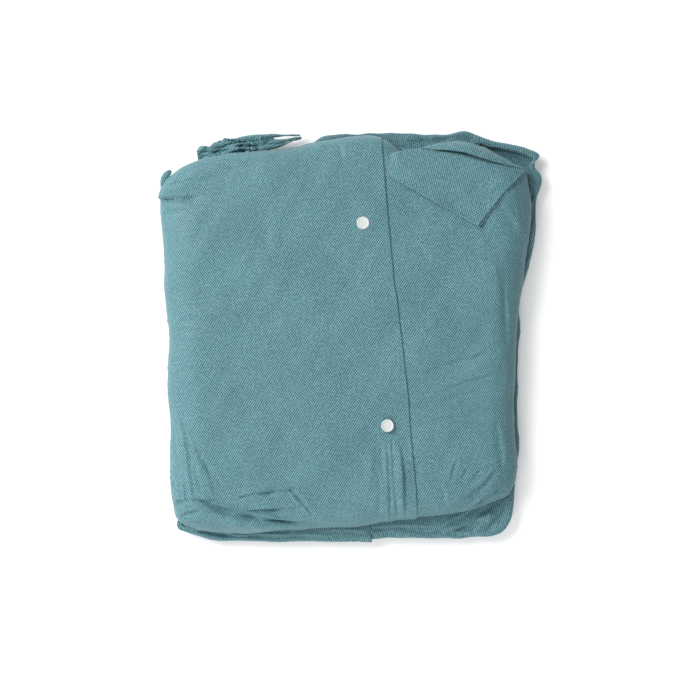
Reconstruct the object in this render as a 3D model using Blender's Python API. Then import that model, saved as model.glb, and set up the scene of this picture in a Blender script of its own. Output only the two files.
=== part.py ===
"""Disposable lab coat of nonwoven cloth, snapped shut and folded into a soft flat pack, front up.

Metres, +Z up. The origin is under the middle of the pack, on the surface that it lies on.
The coat's neck side is at +Y, and the wearer's left is at +X.
"""

import math

import bpy
import numpy as np

# Pack and cloth
PACK_WIDTH = 0.345
PACK_LENGTH = 0.365
CROWN_HEIGHT = 0.041
CROWN_SAG_ACROSS = 0.003
CROWN_SAG_ALONG = 0.003
CLOTH = 0.0012
SEAM_GAP = 0.0003
LOOSE_GAP = 0.0007
PLY = CLOTH + SEAM_GAP
LOOSE_PLY = CLOTH + LOOSE_GAP

# How far in from each side the top takes to round up to its full height
ROUND_LEFT = 0.038
ROUND_RIGHT = 0.026
ROUND_BOTTOM = 0.022
ROUND_TOP = 0.016

# Turned-under edges: the wide fold at the left, and the small one at the other sides
WRAP_RADIUS = 0.016
WRAP_RUN = 0.024
WRAP_SHARES = (1.0, 0.5, 0.0)
WRAP_ANGLES = (72, 54, 36, 18)
TURN_RADIUS = 0.0032
TURN_END = 105
TURN_FADE = 0.004
TURN_FLARE = 0.2

# Outline of the two fronts as they lie on top. Waist is the height at which a side turns inwards.
# Columns: x, y, waist
LEFT_SIDE = [
    (-0.1640, -0.1830, 0.0170),
    (-0.1700, -0.1690, 0.0150),
    (-0.1740, -0.1300, 0.0130),
    (-0.1765, -0.0360, 0.0130),
    (-0.1790, 0.0360, 0.0130),
    (-0.1833, 0.1130, 0.0140),
    (-0.1848, 0.1400, 0.0160),
    (-0.1800, 0.1545, 0.0200),
]
RIGHT_SIDE = [
    (0.1570, -0.1560, 0.0212),
    (0.1620, -0.1400, 0.0175),
    (0.1620, -0.0800, 0.0175),
    (0.1640, 0.0200, 0.0175),
    (0.1715, 0.0650, 0.0175),
    (0.1770, 0.1250, 0.0180),
    (0.1735, 0.1630, 0.0200),
]
BOTTOM_SIDE = [
    (-0.1640, -0.1830, 0.0170),
    (-0.1480, -0.1895, 0.0175),
    (-0.0940, -0.1900, 0.0175),
    (-0.0190, -0.1843, 0.0175),
    (0.0650, -0.1775, 0.0175),
    (0.1200, -0.1690, 0.0175),
    (0.1570, -0.1560, 0.0212),
]
TOP_SIDE = [
    (-0.1800, 0.1545, 0.0200),
    (-0.1600, 0.1668, 0.0200),
    (-0.1310, 0.1756, 0.0200),
    (-0.0600, 0.1835, 0.0200),
    (-0.0200, 0.1915, 0.0200),
    (0.0300, 0.1930, 0.0200),
    (0.0560, 0.1865, 0.0200),
    (0.0980, 0.1905, 0.0200),
    (0.1200, 0.1890, 0.0200),
    (0.1500, 0.1750, 0.0200),
    (0.1735, 0.1630, 0.0200),
]

# Closing edge of the right front, which lies over the left front. Columns: x, y
CLOSING_EDGE = [(0.0300, 0.1940), (0.0432, 0.0456), (0.0563, -0.0600), (0.0650, -0.1775)]

# How finely the skin is divided
RIGHT_FRONT_COLUMNS = 12
LEFT_FRONT_COLUMNS = 7
OVERLAP_COLUMNS = 2
ROWS = 15
EDGE_STEPS = 4
TURN_STEPS = 3

# Largest creases of the two fronts: a trough where depth is positive, else a ridge
# Columns: x and y of one end, x and y of the other, half width, depth
CREASES = [
    (-0.188, 0.1350, -0.148, 0.1365, 0.0060, 0.0026),
    (-0.145, -0.1610, -0.042, -0.1780, 0.0060, 0.0022),
    (-0.105, -0.1510, -0.056, -0.1480, 0.0070, -0.0016),
    (-0.056, -0.1480, -0.036, -0.1680, 0.0070, -0.0016),
    (0.042, -0.1020, 0.049, -0.1700, 0.0080, -0.0020),
    (0.020, -0.1080, 0.030, -0.1700, 0.0070, -0.0012),
    (0.090, -0.1760, 0.146, -0.1480, 0.0060, 0.0022),
    (0.100, -0.0600, 0.152, -0.0380, 0.0080, 0.0016),
]

# Edge of the collar leaf and of its stand, from the closing edge round the point. Columns: x, y
COLLAR_EDGE = [(0.0348, 0.1570), (0.1235, 0.1070), (0.1480, 0.1390), (0.1640, 0.1550)]
COLLAR_UNDER_SHOWS = 0.0025
COLLAR_LIFT = 0.0004
COLLAR_STEP = 0.0095
COLLAR_ROWS = 8
STAND_ROWS = 5
NECK_CROWDING = 1.8
STAND_EDGE = [(0.0400, 0.1740), (0.0830, 0.1800), (0.1110, 0.1765), (0.1460, 0.1655), (0.1600, 0.1640)]

# Folds that stick out below the fronts. Columns: x, y, low, high
LOWER_RIGHT_FRONT_FOLD = [
    (-0.1530, -0.1890, 0.0076, 0.0128),
    (-0.1400, -0.1938, 0.0073, 0.0138),
    (-0.0830, -0.1978, 0.0073, 0.0138),
    (-0.0190, -0.1988, 0.0073, 0.0138),
    (0.0211, -0.1978, 0.0073, 0.0138),
]
LOWER_LEFT_FRONT_FOLD = [
    (0.0216, -0.1960, 0.0076, 0.0135),
    (0.0580, -0.1945, 0.0073, 0.0138),
    (0.0880, -0.1955, 0.0073, 0.0138),
    (0.1150, -0.1945, 0.0073, 0.0138),
    (0.1410, -0.1890, 0.0073, 0.0138),
    (0.1535, -0.1790, 0.0073, 0.0134),
    (0.1580, -0.1600, 0.0073, 0.0128),
    (0.1615, -0.1200, 0.0073, 0.0138),
    (0.1610, -0.0600, 0.0073, 0.0138),
    (0.1640, 0.0300, 0.0073, 0.0138),
]
LEFT_SLEEVE_FOLD = [
    (0.1655, 0.0340, 0.0073, 0.0135),
    (0.1725, 0.0630, 0.0073, 0.0138),
    (0.1795, 0.0940, 0.0073, 0.0138),
    (0.1820, 0.1330, 0.0073, 0.0134),
    (0.1845, 0.1610, 0.0073, 0.0126),
    (0.1815, 0.1750, 0.0073, 0.0128),
    (0.1690, 0.1825, 0.0080, 0.0147),
    (0.1380, 0.1885, 0.0080, 0.0147),
    (0.1215, 0.1950, 0.0080, 0.0147),
]
BACK_NECK_FOLD = [
    (0.1205, 0.1958, 0.0085, 0.0155),
    (0.1135, 0.1985, 0.0085, 0.0160),
    (0.0890, 0.1963, 0.0085, 0.0160),
    (0.0500, 0.1962, 0.0085, 0.0160),
    (0.0146, 0.1980, 0.0085, 0.0160),
    (-0.0280, 0.1950, 0.0085, 0.0160),
    (-0.0420, 0.1870, 0.0080, 0.0160),
    (-0.0860, 0.1770, 0.0075, 0.0158),
]
FOLD_REACH = 0.020
FOLD_ANGLES = (90, 60, 30, 0, -30, -60, -90)
FOLD_STEPS = {"lower_right_front": 22, "lower_left_front": 28, "left_sleeve": 22, "back_neck": 20}

# Right sleeve: its flat loop and its gathered cuff, which stick out at the neck side
# Columns: x, y, low, high
SLEEVE_LOOP = [
    (-0.0895, 0.1810, 0.0073, 0.0150),
    (-0.0840, 0.1905, 0.0073, 0.0150),
    (-0.0690, 0.1962, 0.0073, 0.0150),
    (-0.0560, 0.1945, 0.0073, 0.0150),
    (-0.0460, 0.1885, 0.0073, 0.0150),
]
# Columns: x, y, z, half width, half height
CUFF_RINGS = [
    (-0.1480, 0.1715, 0.0120, 0.0080, 0.0036),
    (-0.1360, 0.1745, 0.0122, 0.0094, 0.0042),
    (-0.1200, 0.1790, 0.0123, 0.0098, 0.0042),
    (-0.1060, 0.1838, 0.0122, 0.0100, 0.0040),
    (-0.0930, 0.1880, 0.0120, 0.0070, 0.0034),
]
CUFF_GATHERS = 9
CUFF_GATHER_DEPTH = 0.0009
CUFF_CRUMPLE = 0.05
CUFF_CRUMPLE_TURNS = 3.3
CUFF_STEPS = 8
CUFF_AROUND = 36
LOOP_STEPS = 14

# Hidden layers, from the top down. Columns: height and inset at the left, height and inset elsewhere
LAYER_LEVELS = [
    (0.0095, 0.0036, 0.0164, 0.0280),
    (0.0070, 0.0058, 0.0070, 0.0280),
    (0.0060, 0.0070, 0.0066, 0.0024),
    (0.0050, 0.0085, 0.0056, 0.0012),
    (0.0042, 0.0100, 0.0044, 0.0040),
    (0.0034, 0.0125, 0.0034, 0.0014),
    (0.0024, 0.0160, 0.0022, 0.0026),
    (0.0015, 0.0220, 0.0015, 0.0080),
]
BACK_INSET_LEFT = 0.0430
BACK_INSET = 0.0060
BACK_INSET_FROM = -0.100
BACK_INSET_OVER = 0.060
BACK_SIDE_STEPS = 12
BACK_TOP_STEPS = 14

# Snap caps, on the right front. Columns: x, y
SNAPS = {"snap_upper": (0.0126, 0.1103), "snap_lower": (0.0363, -0.0857)}
SNAP_RADIUS = 0.0062
SNAP_HEIGHT = 0.0018
SNAP_RIM = 0.0012
SNAP_DISH = 0.0004
SNAP_BEVEL = 0.0004
SNAP_AROUND = 24

CLOTH_COLOUR = (0.141, 0.295, 0.332)
INNER_COLOUR = (0.120, 0.250, 0.285)
SNAP_COLOUR = (0.760, 0.765, 0.780)


def clear_scene():
    for existing in list(bpy.data.objects):
        bpy.data.objects.remove(existing, do_unlink=True)


def make_material(name, colour, roughness):
    material = bpy.data.materials.new(name)
    material.use_nodes = True
    surface = material.node_tree.nodes["Principled BSDF"]
    surface.inputs["Base Color"].default_value = (*colour, 1.0)
    surface.inputs["Roughness"].default_value = roughness
    surface.inputs["Metallic"].default_value = 0.0
    return material


def curve_through(rows):
    """A smooth curve through the rows, read at a share of its length from 0 to 1."""
    points = np.array(rows, float)
    steps = np.linalg.norm(np.diff(points[:, :2], axis=0), axis=1)
    stations = np.concatenate([[0.0], np.cumsum(steps)]) / steps.sum()
    slopes = np.gradient(points, stations, axis=0)

    def at(share):
        i = int(np.clip(np.searchsorted(stations, share, side="right") - 1, 0, len(points) - 2))
        span = stations[i + 1] - stations[i]
        k = (share - stations[i]) / span
        return (
            (2 * k**3 - 3 * k**2 + 1) * points[i]
            + (k**3 - 2 * k**2 + k) * span * slopes[i]
            + (3 * k**2 - 2 * k**3) * points[i + 1]
            + (k**3 - k**2) * span * slopes[i + 1]
        )

    return at


left_side = curve_through(LEFT_SIDE)
right_side = curve_through(RIGHT_SIDE)
bottom_side = curve_through(BOTTOM_SIDE)
top_side = curve_through(TOP_SIDE)


def rise(distance, width):
    """Height of a rounded edge, from 0 at its rim to 1 at its full width in."""
    left_over = 1 - min(max(distance / width, 0.0), 1.0)
    return math.sqrt(1 - left_over**2)


def crease_depth(x, y):
    """How far the creases lower the cloth at a place."""
    place = np.array([x, y])
    depth = 0.0
    for x1, y1, x2, y2, width, deepest in CREASES:
        start, along = np.array([x1, y1]), np.array([x2 - x1, y2 - y1])
        share = float(np.clip((place - start) @ along / (along @ along), 0, 1))
        away = np.linalg.norm(place - start - share * along) / width
        fade = min(1.0, 4 * min(share, 1 - share) + 0.25)
        depth += deepest * fade * math.exp(-away * away)
    return depth


def skin(s, t):
    """A point on top of the pack, s across from the left and t along from the bottom."""
    bottom, top, left, right = bottom_side(s), top_side(s), left_side(t), right_side(t)
    corners = (
        (1 - s) * (1 - t) * bottom_side(0)
        + s * (1 - t) * bottom_side(1)
        + (1 - s) * t * top_side(0)
        + s * t * top_side(1)
    )
    point = (1 - t) * bottom + t * top + (1 - s) * left + s * right - corners
    level = CROWN_HEIGHT - CROWN_SAG_ACROSS * (2 * s - 1) ** 2 - CROWN_SAG_ALONG * (2 * t - 1) ** 2
    level -= crease_depth(point[0], point[1])
    swell = (
        rise(s * PACK_WIDTH, ROUND_LEFT)
        * rise((1 - s) * PACK_WIDTH, ROUND_RIGHT)
        * rise(t * PACK_LENGTH, ROUND_BOTTOM)
        * rise((1 - t) * PACK_LENGTH, ROUND_TOP)
    )
    point[2] += (level - point[2]) * swell
    return point


def place_on_skin(x, y):
    """The s and t of a place seen from above."""
    s, t = 0.5, 0.5
    for _ in range(30):
        point = skin(s, t)
        s = min(max(s + (x - point[0]) / PACK_WIDTH, 0.0), 1.0)
        t = min(max(t + (y - point[1]) / PACK_LENGTH, 0.0), 1.0)
    return s, t


def edge_line(rows):
    """Reads a line of x and y rows as a function of x."""
    xs, ys = np.array(rows).T
    order = np.argsort(xs)
    return lambda x: float(np.interp(x, xs[order], ys[order]))


def rounded_stations(width, length, steps):
    """Shares of a length that step evenly round an edge of this width."""
    return [width * (1 - math.cos(math.radians(90 * i / steps))) / length for i in range(steps)]


def between(start, end, count):
    return [start + (end - start) * i / count for i in range(count)]


def row_stations():
    """Shares along the pack, close together at both rounded ends."""
    full_low, full_high = ROUND_BOTTOM / PACK_LENGTH, 1 - ROUND_TOP / PACK_LENGTH
    low = rounded_stations(ROUND_BOTTOM, PACK_LENGTH, EDGE_STEPS)
    high = [1 - share for share in reversed(rounded_stations(ROUND_TOP, PACK_LENGTH, EDGE_STEPS))]
    return low + between(full_low, full_high, ROWS) + [full_high] + high


def closing_share(t):
    """Share across the pack at which the closing edge lies."""
    rows = sorted((y, x) for x, y in CLOSING_EDGE)
    ys, xs = [row[0] for row in rows], [row[1] for row in rows]
    low, high = 0.0, 1.0
    for _ in range(24):
        middle = (low + high) / 2
        point = skin(middle, t)
        if point[0] < np.interp(point[1], ys, xs):
            low = middle
        else:
            high = middle
    return low


def column_stations(t):
    """Shares across the pack in this row. The closing edge is one of them."""
    edge = closing_share(t)
    full_right = 1 - ROUND_RIGHT / PACK_WIDTH
    left = rounded_stations(ROUND_LEFT, PACK_WIDTH, EDGE_STEPS)
    right = [1 - share for share in reversed(rounded_stations(ROUND_RIGHT, PACK_WIDTH, EDGE_STEPS))]
    left_middle = between(ROUND_LEFT / PACK_WIDTH, edge, RIGHT_FRONT_COLUMNS)
    return left + left_middle + between(edge, full_right, LEFT_FRONT_COLUMNS) + [full_right] + right


def turn_angles():
    return [math.radians(TURN_END * i / TURN_STEPS) for i in range(1, TURN_STEPS + 1)]


def turned_rows(row, inward):
    """The rows that follow a rim as the cloth turns down and in under itself."""
    rim = max(point[2] for point in row)
    rows = []
    for angle in turn_angles():
        turned = []
        for point in row:
            share = max(0.0, 1 - (rim - point[2]) / TURN_FADE)
            moved = point.copy()
            moved[1] += inward * TURN_RADIUS * ((1 - math.cos(angle)) * share - TURN_FLARE * angle * (1 - share))
            moved[2] -= TURN_RADIUS * math.sin(angle) * share
            turned.append(moved)
        rows.append(turned)
    return rows


def turned_columns(rim):
    """The points that follow a row's right end as the cloth turns down and in."""
    points = []
    for angle in turn_angles():
        inset, drop = TURN_RADIUS * (1 - math.cos(angle)), TURN_RADIUS * math.sin(angle)
        points.append(rim - np.array([inset, 0.0, drop]))
    return points


def wrapped_columns(t):
    """The cloth that goes round the left side and under the pack."""
    rim = left_side(t)
    points = []
    for share in WRAP_SHARES:
        points.append(np.array([rim[0] + WRAP_RADIUS + WRAP_RUN * share, rim[1], 0.0]))
    for angle in WRAP_ANGLES:
        turn = math.radians(angle)
        inset = WRAP_RADIUS * (1 - math.cos(turn))
        points.append(np.array([rim[0] + inset, rim[1], rim[2] * (1 - math.sin(turn))]))
    return points


def directions(grid, inside=None):
    """The way out of the surface at each point of a grid."""
    normals = np.cross(np.gradient(grid, axis=1), np.gradient(grid, axis=0))
    normals /= np.linalg.norm(normals, axis=2, keepdims=True)
    row, column = inside or (len(grid) // 2, len(grid[0]) // 2)
    return normals if normals[row, column, 2] > 0 else -normals


class PackSkin:
    """Points all over the pack's skin, with the way out at each. Panels are made from parts of it."""

    def __init__(self):
        self.rows = row_stations()
        self.columns = [column_stations(t) for t in self.rows]
        grid = []
        for t, shares in zip(self.rows, self.columns):
            row = wrapped_columns(t) + [skin(s, t) for s in shares]
            grid.append(row + turned_columns(row[-1]))
        grid = turned_rows(grid[0], 1)[::-1] + grid + turned_rows(grid[-1], -1)
        self.points = np.array(grid)
        self.out = directions(self.points)
        self.first_row = TURN_STEPS
        self.first_column = len(wrapped_columns(0.5))
        self.closing_column = self.first_column + EDGE_STEPS + RIGHT_FRONT_COLUMNS
        self.last_column = self.points.shape[1] - 1 - TURN_STEPS
        self.last_row = self.points.shape[0] - 1 - TURN_STEPS

    def at_depth(self, depth):
        return self.points - depth * self.out


def add_object(name, points, faces, material):
    mesh = bpy.data.meshes.new(name)
    mesh.from_pydata([tuple(map(float, point)) for point in points], [], faces)
    mesh.validate()
    mesh.materials.append(material)
    made = bpy.data.objects.new(name, mesh)
    bpy.context.scene.collection.objects.link(made)
    face_outwards(mesh)
    mesh.shade_smooth()
    mesh.set_sharp_from_angle(angle=math.radians(50))
    return made


def face_outwards(mesh):
    """Turns a closed mesh's faces out, if they point in."""
    points = np.array([vertex.co for vertex in mesh.vertices])
    volume = 0.0
    for polygon in mesh.polygons:
        corners = points[list(polygon.vertices)]
        for i in range(1, len(corners) - 1):
            volume += np.dot(corners[0], np.cross(corners[i], corners[i + 1]))
    if volume < 0:
        mesh.flip_normals()


def two_triangles(a, b, c, d):
    """A cell of a grid, always cut the same way, so that nested walls stay parallel."""
    return [(a, b, c), (a, c, d)]


def wall_from_grids(name, outer, inner, material, closed=False):
    """A closed wall between two grids of points. A closed one joins its last column to its first."""
    rows, columns = outer.shape[:2]
    layer = rows * columns
    points = np.concatenate([outer.reshape(-1, 3), inner.reshape(-1, 3)])
    spans = columns if closed else columns - 1
    faces = []
    for i in range(rows - 1):
        for j in range(spans):
            k = (j + 1) % columns
            a, b, c, d = i * columns + j, i * columns + k, (i + 1) * columns + k, (i + 1) * columns + j
            for face in two_triangles(a, b, c, d):
                faces.append(face)
                faces.append(tuple(corner + layer for corner in reversed(face)))
    for j in range(spans):
        k = (j + 1) % columns
        faces.append((k, j, j + layer, k + layer))
        last = (rows - 1) * columns
        faces.append((last + j, last + k, last + k + layer, last + j + layer))
    if not closed:
        for i in range(rows - 1):
            a, d = i * columns, (i + 1) * columns
            faces.append((a, d, d + layer, a + layer))
            a, d = a + columns - 1, d + columns - 1
            faces.append((d, a, a + layer, d + layer))
    return add_object(name, points, faces, material)


def panel(name, pack, columns, depth, material):
    """A wall of cloth from these columns of the skin, its outer side this deep."""
    outer, inner = pack.at_depth(depth)[:, columns], pack.at_depth(depth + CLOTH)[:, columns]
    return wall_from_grids(name, outer, inner, material)


def build_collar_piece(name, edge_rows, depth, rows, material):
    """A collar ply on the left front, from its free edge up to the roll at the neck."""
    edge = edge_line(edge_rows)
    corners = [x for x, _ in edge_rows]
    xs = []
    for x1, x2 in zip(corners, corners[1:]):
        xs += between(x1, x2, max(3, round((x2 - x1) / COLLAR_STEP)))
    xs.append(corners[-1])
    lines = []
    for x in xs:
        s, low = place_on_skin(x, edge(x))
        drops = [(1 - low) * (1 - i / rows) ** NECK_CROWDING for i in range(rows + 1)]
        lines.append([skin(s, 1 - drop) for drop in drops])
    grid = np.array([list(line) for line in zip(*lines)])
    out = directions(grid)
    return wall_from_grids(name, grid - depth * out, grid - (depth + CLOTH) * out, material)


def drawn_in(point, across, along=None):
    """A place moved towards the middle of the pack."""
    moved = np.array(point, float)
    moved[0] *= 1 - across / (PACK_WIDTH / 2)
    moved[1] *= 1 - (across if along is None else along) / (PACK_LENGTH / 2)
    return moved


def build_fold(name, rows, material):
    """A fold of cloth along a side, open towards the middle of the pack."""
    path, count = curve_through(rows), FOLD_STEPS[name]
    grid = []
    for i in range(count + 1):
        x, y, low, high = path(i / count)
        radius, middle = (high - low) / 2, (high + low) / 2
        section = [(FOLD_REACH, high), (FOLD_REACH / 2, high)]
        for angle in FOLD_ANGLES:
            turn = math.radians(angle)
            section.append((radius * (1 - math.cos(turn)), middle + radius * math.sin(turn)))
        section += [(FOLD_REACH / 2, low), (FOLD_REACH, low)]
        grid.append([drawn_in((x, y, z), inset) for inset, z in section])
    outer = np.array(grid)
    out = directions(outer, inside=(count // 2, 0))
    return wall_from_grids(name, outer, outer - CLOTH * out, material)


def build_sleeve_loop(material):
    """A standing loop of the right sleeve's cloth, beside the cuff."""
    path = curve_through(SLEEVE_LOOP)
    outer, inner = [], []
    for i in range(LOOP_STEPS + 1):
        x, y, low, high = path(i / LOOP_STEPS)
        ahead, behind = path(min(1, (i + 1) / LOOP_STEPS)), path(max(0, (i - 1) / LOOP_STEPS))
        along = (ahead - behind)[:2] / np.linalg.norm((ahead - behind)[:2])
        side = np.array([-along[1], along[0]]) * CLOTH / 2
        for wall, way in ((outer, 1), (inner, -1)):
            foot = np.array([x, y]) + way * side
            wall.append([(*foot, low + (high - low) * share) for share in (0, 0.5, 1)])
    return wall_from_grids("right_sleeve", np.array(outer), np.array(inner), material)


def build_cuff(material):
    """The right cuff: a flattened tube, drawn into gathers by its elastic."""
    path = curve_through(CUFF_RINGS)
    outer, inner = [], []
    for i in range(CUFF_STEPS + 1):
        share = i / CUFF_STEPS
        x, y, z, half_width, half_height = path(share)
        ahead, behind = path(min(1, share + 0.05)), path(max(0, share - 0.05))
        along = (ahead - behind)[:2] / np.linalg.norm((ahead - behind)[:2])
        side = np.array([-along[1], along[0]])
        crumple = 1 + CUFF_CRUMPLE * math.sin(CUFF_CRUMPLE_TURNS * 2 * math.pi * share)
        for wall, shrink in ((outer, 0.0), (inner, CLOTH)):
            ring = []
            for j in range(CUFF_AROUND):
                turn = 2 * math.pi * j / CUFF_AROUND
                gather = CUFF_GATHER_DEPTH * math.sin(CUFF_GATHERS * turn + math.sin(math.pi * share))
                wide = (half_width * crumple + gather - shrink) * math.cos(turn)
                tall = (half_height + gather / 2 - shrink) * math.sin(turn)
                place = np.array([x, y]) + wide * side
                ring.append((place[0], place[1], z + tall))
            wall.append(ring)
    return wall_from_grids("right_cuff", np.array(outer), np.array(inner), material, closed=True)


def build_layers(pack, material):
    """The hidden layers as one rounded solid, with folds along its base."""
    left, right = pack.first_column, pack.last_column - 2
    low, high = pack.first_row + 2, pack.last_row - 2
    overlap = pack.closing_column - OVERLAP_COLUMNS
    column_numbers = np.arange(pack.points.shape[1])
    depth = np.where(column_numbers < overlap - 1, PLY, LOOSE_PLY + PLY)[None, :, None]
    top = (pack.points - depth * pack.out)[low : high + 1, left : right + 1]
    rows, columns = top.shape[:2]
    points = list(top.reshape(-1, 3))
    faces = []
    for i in range(rows - 1):
        for j in range(columns - 1):
            a = i * columns + j
            faces += two_triangles(a, a + 1, a + columns + 1, a + columns)
    rim = [(0, j) for j in range(columns - 1)]
    rim += [(i, columns - 1) for i in range(rows - 1)]
    rim += [(rows - 1, j) for j in range(columns - 1, 0, -1)]
    rim += [(i, 0) for i in range(rows - 1, 0, -1)]
    outline, share_left = [], []
    for i, j in rim:
        row = {0: pack.first_row, rows - 1: pack.last_row}.get(i, low + i)
        column = {0: pack.first_column, columns - 1: pack.last_column}.get(j, left + j)
        outline.append(pack.points[row, column])
        near_end = min(i, rows - 1 - i)
        share_left.append(min(1.0, near_end / 2) if j == 0 else 0.0)
    above = [i * columns + j for i, j in rim]
    for left_height, left_inset, height, inset in LAYER_LEVELS:
        ring = []
        for place, share in zip(outline, share_left):
            z = height + (left_height - height) * share
            ring.append(len(points))
            across = left_inset if place[0] < 0 else inset
            points.append(drawn_in((place[0], place[1], z), across, inset))
        for k in range(len(rim)):
            m = (k + 1) % len(rim)
            faces.append((above[m], above[k], ring[k], ring[m]))
        above = ring
    faces.append(tuple(reversed(above)))
    return add_object("folded_layers", points, faces, material)


def build_back(material):
    """The back panel's outer side, flat on the surface under the pack."""
    rim = []
    for side, steps in ((bottom_side, BACK_SIDE_STEPS), (right_side, BACK_SIDE_STEPS)):
        rim += [side(i / steps) for i in range(steps)]
    for side, steps in ((top_side, BACK_TOP_STEPS), (left_side, BACK_SIDE_STEPS)):
        rim += [side(1 - i / steps) for i in range(steps)]
    ring = []
    for x, y, _ in rim:
        near = min(max((BACK_INSET_FROM - x) / BACK_INSET_OVER, 0.0), 1.0)
        amount = BACK_INSET + (BACK_INSET_LEFT - BACK_INSET) * near
        ring.append(drawn_in((x, y, 0.0), amount))
    count = len(ring)
    points = ring + [point + np.array([0.0, 0.0, CLOTH]) for point in ring]
    faces = [tuple(reversed(range(count))), tuple(range(count, 2 * count))]
    for k in range(count):
        m = (k + 1) % count
        faces.append((k, m, m + count, k + count))
    return add_object("back", points, faces, material)


def build_snap(name, x, y, material):
    """A moulded cap with a raised rim round a flat dish, turned about its axis."""
    profile = [
        (SNAP_RADIUS - SNAP_BEVEL, 0.0),
        (SNAP_RADIUS, SNAP_BEVEL),
        (SNAP_RADIUS, SNAP_HEIGHT - SNAP_BEVEL),
        (SNAP_RADIUS - SNAP_BEVEL, SNAP_HEIGHT),
        (SNAP_RADIUS - SNAP_RIM, SNAP_HEIGHT),
        (SNAP_RADIUS - SNAP_RIM - SNAP_BEVEL, SNAP_HEIGHT - SNAP_DISH),
    ]
    s, t = place_on_skin(x, y)
    foot = skin(s, t)
    across = skin(s + 0.01, t) - skin(s - 0.01, t)
    along = skin(s, t + 0.01) - skin(s, t - 0.01)
    up = np.cross(across, along)
    up /= np.linalg.norm(up)
    first = across / np.linalg.norm(across)
    second = np.cross(up, first)
    points = [foot + up * SEAM_GAP]
    for radius, height in profile:
        for k in range(SNAP_AROUND):
            turn = 2 * math.pi * k / SNAP_AROUND
            spoke = first * math.cos(turn) + second * math.sin(turn)
            points.append(foot + up * (SEAM_GAP + height) + radius * spoke)
    points.append(foot + up * (SEAM_GAP + profile[-1][1]))
    last_ring = 1 + (len(profile) - 1) * SNAP_AROUND
    faces = []
    for k in range(SNAP_AROUND):
        m = (k + 1) % SNAP_AROUND
        faces.append((0, 1 + m, 1 + k))
        for a in range(1, last_ring, SNAP_AROUND):
            faces.append((a + k, a + m, a + SNAP_AROUND + m, a + SNAP_AROUND + k))
        faces.append((last_ring + k, last_ring + m, len(points) - 1))
    return add_object(name, points, faces, material)


def build_coat():
    clear_scene()
    cloth = make_material("nonwoven_cloth", CLOTH_COLOUR, 0.75)
    inner = make_material("nonwoven_cloth_inner", INNER_COLOUR, 0.8)
    white = make_material("snap_plastic", SNAP_COLOUR, 0.35)

    pack = PackSkin()
    closing = pack.closing_column
    panel("right_front", pack, slice(0, closing + 1), 0.0, cloth)
    panel("left_front", pack, slice(closing - OVERLAP_COLUMNS, None), LOOSE_PLY, cloth)
    under_edge = [(x + COLLAR_UNDER_SHOWS * (x > 0.1), y - COLLAR_UNDER_SHOWS) for x, y in COLLAR_EDGE]
    build_collar_piece("under_collar", under_edge, -COLLAR_LIFT, COLLAR_ROWS, cloth)
    build_collar_piece("upper_collar", COLLAR_EDGE, -COLLAR_LIFT - LOOSE_PLY, COLLAR_ROWS, cloth)
    build_collar_piece("collar_stand", STAND_EDGE, -COLLAR_LIFT - 2 * LOOSE_PLY, STAND_ROWS, cloth)
    build_fold("lower_right_front", LOWER_RIGHT_FRONT_FOLD, cloth)
    build_fold("lower_left_front", LOWER_LEFT_FRONT_FOLD, cloth)
    build_fold("left_sleeve", LEFT_SLEEVE_FOLD, cloth)
    build_fold("back_neck", BACK_NECK_FOLD, inner)
    build_sleeve_loop(cloth)
    build_cuff(cloth)
    build_layers(pack, inner)
    build_back(cloth)
    for name, (x, y) in SNAPS.items():
        build_snap(name, x, y, white)


build_coat()
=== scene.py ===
import math

import bmesh
import bpy
import numpy as np
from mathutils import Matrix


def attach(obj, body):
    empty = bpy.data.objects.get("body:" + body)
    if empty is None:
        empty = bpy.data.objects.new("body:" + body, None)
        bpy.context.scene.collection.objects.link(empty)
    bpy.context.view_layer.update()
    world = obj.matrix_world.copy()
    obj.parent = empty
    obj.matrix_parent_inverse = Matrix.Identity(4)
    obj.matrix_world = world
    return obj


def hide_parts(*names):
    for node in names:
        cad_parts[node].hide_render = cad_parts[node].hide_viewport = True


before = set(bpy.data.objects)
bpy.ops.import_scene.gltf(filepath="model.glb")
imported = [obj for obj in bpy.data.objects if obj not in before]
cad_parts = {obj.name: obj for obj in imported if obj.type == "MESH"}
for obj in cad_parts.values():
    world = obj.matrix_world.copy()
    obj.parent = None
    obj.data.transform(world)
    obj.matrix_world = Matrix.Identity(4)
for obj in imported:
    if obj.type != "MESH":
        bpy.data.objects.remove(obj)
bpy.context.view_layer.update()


# Metres, +Z up, neck side at +Y, wearer's left at +X

def inMetres(rows):
    # the tables of places and creases are in millimetres
    return [tuple(value / 1000 for value in row) for row in rows]


def newObject(name, data):
    made = bpy.data.objects.new(name, data)
    bpy.context.scene.collection.objects.link(made)
    return made


# Camera

cameraSettings = {
    "height": 3.40,
    "planeHeight": 0.030,  # the height at which one pixel is metresPerPixel
    "metresPerPixel": 0.00097,
    "pixels": 700,
    "sensor": 36.0,
    "over": (0.0, -0.0126),
}


def buildCamera(settings):
    viewWidth = settings["metresPerPixel"] * settings["pixels"]
    data = bpy.data.cameras.new("camera")
    data.sensor_width = settings["sensor"]
    data.lens = settings["sensor"] * (settings["height"] - settings["planeHeight"]) / viewWidth
    camera = newObject("camera", data)
    camera.location = (*settings["over"], settings["height"])
    bpy.context.scene.camera = camera
    print("camera placed")


buildCamera(cameraSettings)


# Curves, noise and grids that the cloth pieces share

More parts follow.
